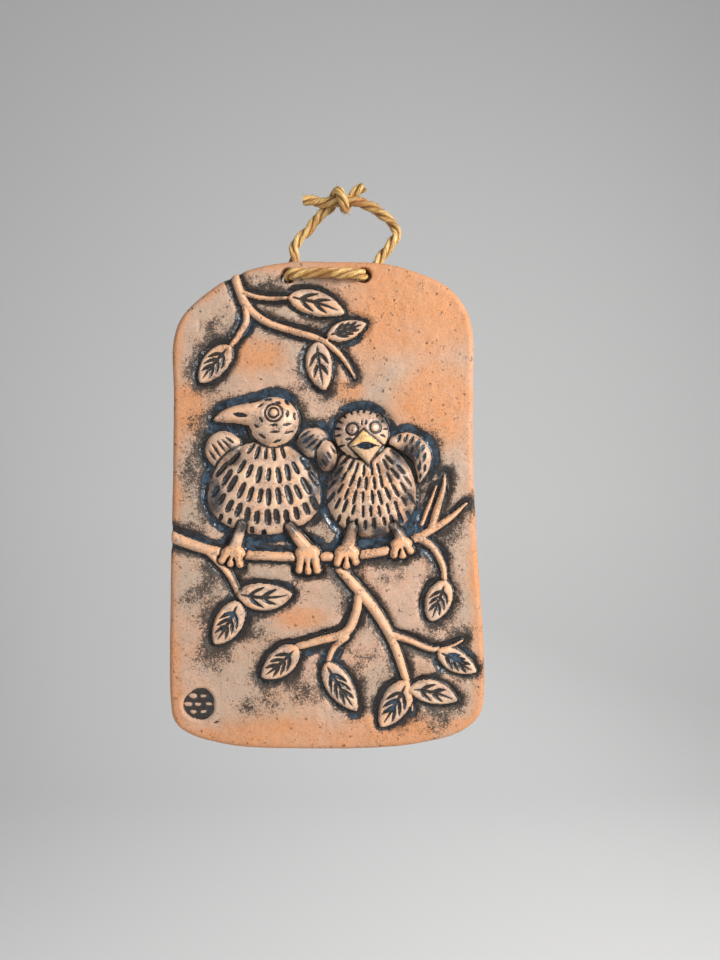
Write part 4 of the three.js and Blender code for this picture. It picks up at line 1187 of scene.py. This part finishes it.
def stained_clay(colours):
    """Terracotta under a thin wash, with dark oxide in its recesses and glassy blue where glaze pooled, and
    with painted shade beside and between the motifs and some painted sheen in the blue on their lit side.
    """
    material, graph, shader = blank_material("Stained clay")
    place = graph.node("ShaderNodeTexCoord").outputs["Object"]
    given = {name: graph.value_of(name) for name in
             ("raised", "soot", "halo", "glaze", "raw", "warm", "honey", "dim", "gloss")}
    mottlings = [graph.noise(place, *kind) for kind in CLAY_NOISE.values()]
    clouds, glow, blotches, mottle, grain, specks = mottlings

    wash = graph.mixed(graph.stepped(clouds, 0.4, 0.68), tuple(colours.wash), tuple(colours.pink))
    bared = graph.plus(given["raw"], graph.math("MULTIPLY_ADD", blotches, 1.1, -0.55))
    bared = graph.plus(bared, graph.math("MULTIPLY_ADD", mottle, 0.4, -0.2))
    clay = graph.mixed(graph.stepped(bared, -0.35, 1.35), wash, tuple(colours.raw))
    clay = graph.mixed(graph.stepped(mottle, 0.35, 0.7, 0.0, 0.22), clay, tuple(colours.wash))
    clay = graph.mixed(graph.stepped(grain, 0.4, 0.75, 0.0, 0.18), clay, tuple(colours.stain))

    tops = graph.mixed(graph.stepped(blotches, 0.4, 0.56), tuple(colours.worn), tuple(colours.pink))
    tops = graph.mixed(graph.stepped(glow, 0.5, 0.66, 0.0, 0.75), tops, tuple(colours.ember))
    tops = graph.mixed(given["warm"], tops, tuple(colours.ember))
    tops = graph.mixed(given["honey"], tops, tuple(colours.honey))
    tops = graph.mixed(graph.stepped(mottle, 0.44, 0.66, 0.0, 0.6), tops, tuple(colours.wash))
    worn_spots = graph.math("MULTIPLY_ADD", blotches, 0.5, graph.times(grain, 0.5))
    tops = graph.mixed(graph.stepped(worn_spots, 0.53, 0.6, 0.0, 0.5), tops, tuple(colours.stain))
    # Dark glaze on the birds' tops, partly painted shade where their forms meet and overhang.
    glaze_and_shade_share = graph.times(given["dim"], graph.stepped(blotches, 0.3, 0.56, 0.35, 0.95))
    tops = graph.mixed(glaze_and_shade_share, tops, tuple(colours.glaze_dark_and_shade))
    clay = graph.mixed(given["raised"], clay, tops)

    # Stain clings in fine specks, thickest near the motifs, with smears of it between them.
    fleck = graph.plus(graph.times(grain, 0.5), graph.times(mottle, 0.5))
    fleck = graph.plus(fleck, graph.times(blotches, 0.35))
    film = graph.math("MULTIPLY_ADD", given["halo"], 0.5, fleck)
    smear = graph.stepped(film, 0.78, 1.0, 0.0, 0.9)
    clay = graph.mixed(smear, clay, tuple(colours.stain))
    dots = graph.plus(graph.times(specks, 0.62), graph.times(blotches, 0.38))
    dots = graph.math("MULTIPLY_ADD", given["halo"], 0.27, dots)
    clay = graph.mixed(graph.stepped(dots, 0.62, 0.665, 0.0, 0.92), clay, tuple(colours.stain))

    pits = graph.node("ShaderNodeTexVoronoi", {"Vector": place, "Scale": 420}, feature="F1")
    rare = graph.stepped(graph.noise(place, 260, 2, 0.5), 0.52, 0.62)
    pit = graph.times(graph.stepped(pits.outputs["Distance"], 0.3, 0.16), rare)
    pit = graph.times(pit, graph.math("SUBTRACT", 1.0, given["glaze"], clamp=True))
    clay = graph.mixed(graph.times(pit, 0.6), clay, tuple(colours.stain))

    # Oxide darkens the recesses and marks; through the band beside the motifs it also paints shade on their
    # upper-left side.
    ragged = graph.plus(given["soot"], graph.math("MULTIPLY_ADD", mottle, 0.6, -0.3))
    dark = graph.stepped(ragged, 0.25, 0.66)
    clay = graph.mixed(graph.times(dark, 0.97), clay, tuple(colours.soot))

    swirl = graph.noise(place, 260, 4, 0.62, 0.5)
    pooled = graph.plus(given["glaze"], graph.math("MULTIPLY_ADD", swirl, 0.7, -0.35))
    rim = graph.plus(pooled, graph.math("MULTIPLY_ADD", grain, 0.7, -0.35))
    clay = graph.mixed(graph.stepped(rim, 0.08, 0.34, 0.0, 0.95), clay, tuple(colours.soot))
    blue = graph.mixed(graph.stepped(swirl, 0.36, 0.68), tuple(colours.glaze_dark_and_shade), tuple(colours.glaze))
    glassy = graph.stepped(pooled, 0.34, 0.76)
    finish = graph.mixed(graph.times(glassy, 0.96), clay, blue)
    graph.put(shader.inputs["Base Color"], finish)

    matt = graph.mixed_value(given["raised"], graph.stepped(grain, 0.3, 0.7, 0.6, 0.8), 0.5)
    sheen = graph.math("MAXIMUM", graph.times(given["gloss"], 0.7), dark)
    rough = graph.mixed_value(sheen, matt, 0.2)
    graph.put(shader.inputs["Roughness"], graph.mixed_value(glassy, rough, 0.12))

    tooth = graph.plus(graph.times(grain, 0.6), graph.times(specks, 0.25))
    tooth = graph.math("SUBTRACT", tooth, graph.times(pit, 0.9))
    tooth = graph.times(tooth, graph.math("SUBTRACT", 1.0, graph.times(glassy, 0.7)))
    ripple = graph.times(mottle, graph.math("MAXIMUM", glassy, dark))
    tooth = graph.math("MULTIPLY_ADD", ripple, 1.6, tooth)
    bump = graph.node("ShaderNodeBump", {"Strength": 0.6, "Distance": 0.0005, "Height": tooth})
    graph.put(shader.inputs["Normal"], bump)
    shader.inputs["IOR"].default_value = 1.5
    return material


def twisted_fibre(colours):
    """Golden fibre, streaked along its own twist, with painted shade in the creases where the plies meet."""
    material, graph, shader = blank_material("Golden fibre")
    fibre = graph.node("ShaderNodeAttribute", attribute_name="fibre").outputs["Vector"]
    place = graph.node("ShaderNodeTexCoord").outputs["Object"]
    streaks = graph.noise(fibre, 5.5, 3, 0.6)
    threads = graph.noise(fibre, 14, 2, 0.6)
    patches = graph.noise(place, 62, 3, 0.5)
    tone = graph.plus(graph.times(streaks, 0.7), graph.times(threads, 0.3))
    gold = graph.mixed(graph.stepped(tone, 0.42, 0.54), tuple(colours.amber_and_crease_shade), tuple(colours.gold))
    gold = graph.mixed(graph.stepped(tone, 0.5, 0.6, 0.0, 0.9), gold, tuple(colours.straw))
    gold = graph.mixed(graph.stepped(patches, 0.48, 0.6, 0.0, 0.62), gold, tuple(colours.amber_and_crease_shade))
    # Painted shade: the creases between the plies are darkened towards the darkest fibre colour.
    deep = graph.stepped(graph.value_of("crease"), 0.45, 1.0, 0.0, 0.9)
    graph.put(shader.inputs["Base Color"], graph.mixed(deep, gold, tuple(colours.amber_and_crease_shade)))
    graph.put(shader.inputs["Roughness"], graph.stepped(threads, 0.3, 0.7, 0.32, 0.55))
    bump = graph.node("ShaderNodeBump", {"Strength": 0.7, "Distance": 0.0003, "Height": tone})
    graph.put(shader.inputs["Normal"], bump)
    return material


# ------------------------------------------------------------------ the string


PLY_OUT = 0.9  # how far a ply's middle lies from the string's, in ply radii
FIBRE_TURN = 150.0  # how fast the fibres wind round a ply, in radians a metre
FIBRE_STRETCH = 42.0  # how fast their pattern changes along the string
FIBRES_FROM = -0.003  # loose fibres start only in front of this depth, so that none reach the wall


def string_tree():
    """Plies twisted together along a curve, with fine fibres on them and loose ones standing off."""
    tree = bpy.data.node_groups.new("Twisted string", "GeometryNodeTree")
    sockets = [
        ("Curve", "NodeSocketGeometry", None), ("Diameter", "NodeSocketFloat", 0.0045),
        ("Plies", "NodeSocketInt", 3), ("Pitch", "NodeSocketFloat", 0.021),
        ("Ring Spacing", "NodeSocketFloat", 0.0005), ("Fibre Depth", "NodeSocketFloat", 0.00022),
        ("Loose Fibres", "NodeSocketFloat", 160000.0), ("Seed", "NodeSocketInt", 4),
        ("Material", "NodeSocketMaterial", None),
    ]
    for name, kind, default in sockets:
        socket = tree.interface.new_socket(name=name, in_out="INPUT", socket_type=kind)
        if default is not None:
            socket.default_value = default
    tree.interface.new_socket(name="Mesh", in_out="OUTPUT", socket_type="NodeSocketGeometry")
    graph = Graph(tree)
    given = graph.node("NodeGroupInput").outputs

    def stored(geometry, name, value, kind="FLOAT"):
        return graph.node(
            "GeometryNodeStoreNamedAttribute", {"Geometry": geometry, "Name": name, "Value": value},
            data_type=kind, domain="POINT",
        )

    spaced = graph.node(
        "GeometryNodeResampleCurve", {"Curve": given["Curve"], "Length": given["Ring Spacing"]}, mode="LENGTH"
    )
    along = graph.node("GeometryNodeSplineParameter").outputs["Length"]
    turn = graph.math("DIVIDE", graph.times(along, -2 * math.pi), given["Pitch"])
    tilted = graph.node("GeometryNodeSetCurveTilt", {"Curve": spaced, "Tilt": turn})
    kept_along = stored(tilted, "along", along)

    ring = graph.node("GeometryNodeCurvePrimitiveCircle", {"Resolution": 48, "Radius": 1.0}, mode="RADIUS")
    around = graph.times(graph.node("GeometryNodeSplineParameter").outputs["Factor"], 2 * math.pi)
    wedge = graph.math("DIVIDE", math.pi, given["Plies"])
    from_ply = graph.math("WRAP", around, wedge, graph.times(wedge, -1.0))
    ply = graph.math("DIVIDE", given["Diameter"], 2 * (1 + PLY_OUT))
    middle = graph.times(ply, PLY_OUT)
    sine = graph.math("SINE", from_ply)
    cosine = graph.math("COSINE", from_ply)
    across = graph.times(middle, sine)
    chord = graph.math("SQRT", graph.math("SUBTRACT", graph.times(ply, ply),
                                          graph.times(across, across)))
    radius = graph.math("MULTIPLY_ADD", middle, cosine, chord)
    spot = graph.node("ShaderNodeCombineXYZ", {
        "X": graph.times(radius, graph.math("COSINE", around)),
        "Y": graph.times(radius, graph.math("SINE", around)),
    })
    lobed = graph.node("GeometryNodeSetPosition", {"Geometry": ring, "Position": spot})
    on_ply = graph.math("ARCTAN2", graph.times(radius, sine),
                        graph.math("SUBTRACT", graph.times(radius, cosine), middle))
    lobed = stored(lobed, "on ply", on_ply)
    crease = graph.math("DIVIDE", graph.math("ABSOLUTE", from_ply), wedge)
    lobed = stored(lobed, "crease", crease)
    which = graph.math("FLOOR", graph.math("DIVIDE", graph.plus(around, wedge),
                                           graph.times(wedge, 2.0)))
    lobed = stored(lobed, "which ply", which)
    rope = graph.node(
        "GeometryNodeCurveToMesh", {"Curve": kept_along, "Profile Curve": lobed, "Fill Caps": True}
    )

    def named(name):
        return graph.node("GeometryNodeInputNamedAttribute", {"Name": name}, data_type="FLOAT").outputs[0]

    # Fibres wind round each ply the other way, so that they lie nearly along the string.
    yarn = graph.math("MULTIPLY_ADD", named("along"), FIBRE_TURN, named("on ply"))
    fibre = graph.node("ShaderNodeCombineXYZ", {
        "X": graph.math("COSINE", yarn),
        "Y": graph.math("SINE", yarn),
        "Z": graph.math("MULTIPLY_ADD", named("which ply"), 7.3, graph.times(named("along"), FIBRE_STRETCH)),
    })
    rope = stored(rope, "fibre", fibre, "FLOAT_VECTOR")
    strands = graph.node("ShaderNodeTexNoise", {"Vector": fibre, "Scale": 7.0, "Detail": 2.0}).outputs[0]
    position = graph.node("GeometryNodeInputPosition")
    slubs = graph.node("ShaderNodeTexNoise", {"Vector": position, "Scale": 160.0, "Detail": 1.0}).outputs[0]
    lift = graph.plus(graph.math("SUBTRACT", strands, 0.5),
                      graph.times(graph.math("SUBTRACT", slubs, 0.5), 1.6))
    lift = graph.times(lift, graph.times(given["Fibre Depth"], 2.0))
    offset = graph.node("ShaderNodeVectorMath", {0: graph.node("GeometryNodeInputNormal")}, operation="SCALE")
    graph.put(offset.inputs["Scale"], lift)
    rope = graph.node("GeometryNodeSetPosition", {"Geometry": rope, "Offset": offset})

    # A loose fibre is a thin arc that rises from the string and bends back along it.
    arc = graph.node("GeometryNodeCurveQuadraticBezier", {
        "Resolution": 5,
        "Start": (0, 0, -0.0002),
        "Middle": (0.001, 0, 0.0002),
        "End": (0.0018, 0.0004, 0.0005),
    })
    hair = graph.node("GeometryNodeCurvePrimitiveCircle", {"Resolution": 3, "Radius": 0.00006}, mode="RADIUS")
    thread = graph.node("GeometryNodeCurveToMesh", {"Curve": arc, "Profile Curve": hair, "Fill Caps": True})
    depth = graph.node("ShaderNodeSeparateXYZ", {0: graph.node("GeometryNodeInputPosition")}).outputs["Y"]
    in_front = graph.node(
        "FunctionNodeCompare", {"A": depth, "B": FIBRES_FROM}, data_type="FLOAT", operation="LESS_THAN"
    )
    sites = graph.node(
        "GeometryNodeDistributePointsOnFaces",
        {"Mesh": rope, "Density": given["Loose Fibres"], "Seed": given["Seed"], "Selection": in_front},
        distribute_method="RANDOM",
    )
    spin = graph.node("FunctionNodeRandomValue", {"Seed": given["Seed"]}, data_type="FLOAT")
    graph.put(Graph.socket(spin.inputs, "Max"), 2 * math.pi)
    roll = graph.node("FunctionNodeAxisAngleToRotation", {"Axis": (0, 0, 1), "Angle": spin.outputs[1]})
    turned = graph.node(
        "FunctionNodeRotateRotation", {"Rotation": sites.outputs["Rotation"], "Rotate By": roll},
        rotation_space="LOCAL",
    )
    size = graph.node("FunctionNodeRandomValue", {"Seed": 9}, data_type="FLOAT")
    graph.put(Graph.socket(size.inputs, "Min"), 0.5)
    graph.put(Graph.socket(size.inputs, "Max"), 1.2)
    loose = graph.node(
        "GeometryNodeInstanceOnPoints",
        {"Points": sites.outputs["Points"], "Instance": thread, "Rotation": turned, "Scale": size.outputs[1]},
    )
    together = graph.node("GeometryNodeJoinGeometry")
    tree.links.new(rope.outputs[0], together.inputs[0])
    tree.links.new(loose.outputs[0], together.inputs[0])
    real = graph.node("GeometryNodeRealizeInstances", {"Geometry": together})
    smooth = graph.node("GeometryNodeSetShadeSmooth", {"Geometry": real})
    finished = graph.node("GeometryNodeSetMaterial", {"Geometry": smooth, "Material": given["Material"]})
    graph.node("NodeGroupOutput", {"Mesh": finished})
    return tree


def grown(piece, tree, values):
    """Sets the tree on the piece with the values by input name, and returns what it makes as a plain mesh."""
    modifier = piece.modifiers.new(tree.name, "NODES")
    modifier.node_group = tree
    for item in tree.interface.items_tree:
        if item.item_type == "SOCKET" and item.in_out == "INPUT" and item.name in values:
            modifier[item.identifier] = values[item.name]
    return applied(piece, piece.name)


def string_line():
    """Points 1 mm apart along the string's middle, in the frame."""
    line = smooth_line(STRING_ROUTE, 0.5, places=3)
    travelled = np.concatenate([[0], np.cumsum(np.linalg.norm(np.diff(line, axis=0), axis=1))])
    even = np.linspace(0, travelled[-1], int(travelled[-1]))
    return hung(np.stack([np.interp(even, travelled, line[:, i]) for i in range(3)], axis=-1))


# ------------------------------------------------------------------ operators

PICTURE = (720, 960)
VIEW_PLACE = (13.2, 10.3)  # the camera's place on the plan
ROOM_LIGHT = 0.27
# Each light: its name, its strength's property, its size, its place from the slab's middle, and its tint.
LIGHTS = [
    ("Key light", "key", 0.34, (0.52, -0.50, 0.20), (1.0, 0.97, 0.93)),
    ("Window glint", "glint", 0.07, (0.58, -0.42, 0.30), (1.0, 0.98, 0.95)),
    ("Fill light", "fill", 0.6, (-0.62, -0.50, 0.10), (0.93, 0.96, 1.0)),
    ("Back light", "fill", 0.6, (0.3, 0.7, 0.3), (1.0, 1.0, 1.0)),
]
# The floor's height, the wall's distance, the bend between them, half the width, and the ends.
BACKDROP = {"floor": -0.52, "wall": 1.0, "bend": 0.35, "half": 6.0, "near": -4.0, "top": 5.0, "steps": 12}


class PLAQUE_OT_stage(Operator):
    """Set up the camera, the soft lights and the plain floor and backdrop"""

    bl_idname = "plaque.stage"
    bl_label = "Stage"

    def execute(self, context):
        stage = context.scene.plaque_stage
        data = bpy.data.cameras.new("Camera")
        camera = bpy.data.objects.new("Camera", data)
        context.scene.collection.objects.link(camera)
        camera.location = hung([[*VIEW_PLACE, stage.view_distance / MM]])[0]
        camera.rotation_euler = (math.pi / 2, 0, 0)
        long_side = PICTURE[1] / PICTURE[0] * math.tan(stage.view_angle / 2)
        data.lens = data.sensor_width / 2 / long_side
        data.clip_start = 0.01
        context.scene.camera = camera
        for name, power, size, place, tint in LIGHTS:
            self.light(name, getattr(stage, power), size, place, tint)
        world = bpy.data.worlds.new("Pale room")
        context.scene.world = world
        world.use_nodes = True
        room = world.node_tree.nodes["Background"]
        room.inputs["Color"].default_value = (0.95, 0.97, 1.0, 1.0)
        room.inputs["Strength"].default_value = ROOM_LIGHT
        context.scene.view_settings.view_transform = "Standard"
        self.backdrop(stage)
        return {"FINISHED"}

    @staticmethod
    def light(name, power, size, place, tint):
        data = bpy.data.lights.new(name, "AREA")
        data.energy, data.size, data.color = power, size, tint
        lamp = bpy.data.objects.new(name, data)
        bpy.context.scene.collection.objects.link(lamp)
        middle = Vector(hung([[0, 0, 0]])[0])
        lamp.location = Vector(place) + Vector((0, 0, middle.z))
        lamp.rotation_euler = (middle - lamp.location).to_track_quat("-Z", "Y").to_euler()

    @staticmethod
    def backdrop(stage):
        """A floor that curves up into a wall well behind the plaque."""
        floor, wall, bend, half = (BACKDROP[name] for name in ("floor", "wall", "bend", "half"))
        profile = [(BACKDROP["near"], floor), (wall - bend, floor)]
        for turn in np.linspace(0, math.pi / 2, BACKDROP["steps"] + 1)[1:].tolist():
            profile.append((wall - bend + bend * math.sin(turn), floor + bend - bend * math.cos(turn)))
        profile.append((wall, BACKDROP["top"]))
        points = [(x, y, z) for y, z in profile for x in (-half, half)]
        faces = [(2 * i, 2 * i + 1, 2 * i + 3, 2 * i + 2) for i in range(len(profile) - 1)]
        mesh = bpy.data.meshes.new("Floor")
        mesh.from_pydata(points, [], faces)
        mesh.shade_smooth()
        piece = shown("Floor", mesh)
        material, _, shader = blank_material("Plain floor")
        shader.inputs["Base Color"].default_value = stage.floor
        shader.inputs["Roughness"].default_value = 0.9
        piece.data.materials.append(material)


class PLAQUE_OT_string(Operator):
    """Lay the twisted string through both holes and knot it above the plaque"""

    bl_idname = "plaque.string"
    bl_label = "Hanging string"

    def execute(self, context):
        sizes = context.scene.plaque_string
        line = string_line()
        curve = bpy.data.curves.new("twisted_string", "CURVE")
        curve.dimensions = "3D"
        spline = curve.splines.new("POLY")
        spline.points.add(len(line) - 1)
        spline.points.foreach_set("co", np.hstack([line, np.ones((len(line), 1))]).ravel())
        piece = shown("twisted_string", curve)
        piece = grown(piece, string_tree(), {
            "Diameter": sizes.diameter,
            "Plies": sizes.plies,
            "Pitch": sizes.pitch,
            "Material": twisted_fibre(sizes),
        })
        places = np.empty(len(piece.data.vertices) * 3, np.float32)
        piece.data.vertices.foreach_get("co", places)
        places = np.clip(places.reshape(-1, 3), *SOLID_BOX)
        piece.data.vertices.foreach_set("co", places.astype(np.float32).ravel())
        piece.data.update()
        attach(piece, BODY)
        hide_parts("hanging_cord")
        return {"FINISHED"}


class PLAQUE_OT_clay(Operator):
    """Press and lay the relief of birds, branches and leaves on the clay slab"""

    bl_idname = "plaque.clay"
    bl_label = "Clay plaque"

    def execute(self, context):
        scene = context.scene
        slab = scene.plaque_slab
        ground = laid_relief(slab, scene.plaque_relief)
        height = settled_heights(ground)
        points, faces, inside = closed_slab(ground, height, slab)
        mesh = mesh_of("relief_plaque", points, faces)
        piece = thinned(shown("relief_plaque", mesh), slab.triangles)
        count = len(piece.data.vertices)
        kept = np.empty(count * 3, np.float32)
        piece.data.vertices.foreach_get("co", kept)
        kept = kept.reshape(-1, 3).astype(float)
        spread_finishes(piece, kept, ground, finishes(ground, height, inside), slab.thickness / MM)
        placed = np.clip(hung(kept), *(np.array(corner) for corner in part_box("plaque")))
        piece.data.vertices.foreach_set("co", placed.astype(np.float32).ravel())
        piece.data.shade_smooth()
        piece.data.update()
        piece.data.materials.append(stained_clay(scene.plaque_clay))
        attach(piece, BODY)
        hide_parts("plaque")
        return {"FINISHED"}


class PLAQUE_PT_panel(Panel):
    """The plaque's pieces and their sizes"""

    bl_idname = "PLAQUE_PT_panel"
    bl_label = "Bird plaque"
    bl_space_type = "VIEW_3D"
    bl_region_type = "UI"
    bl_category = "Plaque"

    def draw(self, context):
        for operator, group in STEPS:
            box = self.layout.box()
            box.operator(operator)
            for name in group:
                settings = getattr(context.scene, name)
                for prop in type(settings).__annotations__:
                    box.prop(settings, prop)


STEPS = [
    ("plaque.stage", ["plaque_stage"]),
    ("plaque.string", ["plaque_string"]),
    ("plaque.clay", ["plaque_slab", "plaque_relief", "plaque_clay"]),
]
GROUPS = {
    "plaque_slab": PlaqueSlab,
    "plaque_relief": PlaqueRelief,
    "plaque_clay": PlaqueClay,
    "plaque_string": PlaqueString,
    "plaque_stage": PlaqueStage,
}
CLASSES = [*GROUPS.values(), PLAQUE_OT_stage, PLAQUE_OT_string, PLAQUE_OT_clay, PLAQUE_PT_panel]


def register():
    for kind in CLASSES:
        bpy.utils.register_class(kind)
    for name, group in GROUPS.items():
        setattr(bpy.types.Scene, name, PointerProperty(type=group))


def unregister():
    for name in GROUPS:
        delattr(bpy.types.Scene, name)
    for kind in reversed(CLASSES):
        bpy.utils.unregister_class(kind)


def main():
    register()
    bpy.ops.plaque.stage()
    bpy.ops.plaque.string()
    bpy.ops.plaque.clay()


if __name__ == "__main__":
    main()
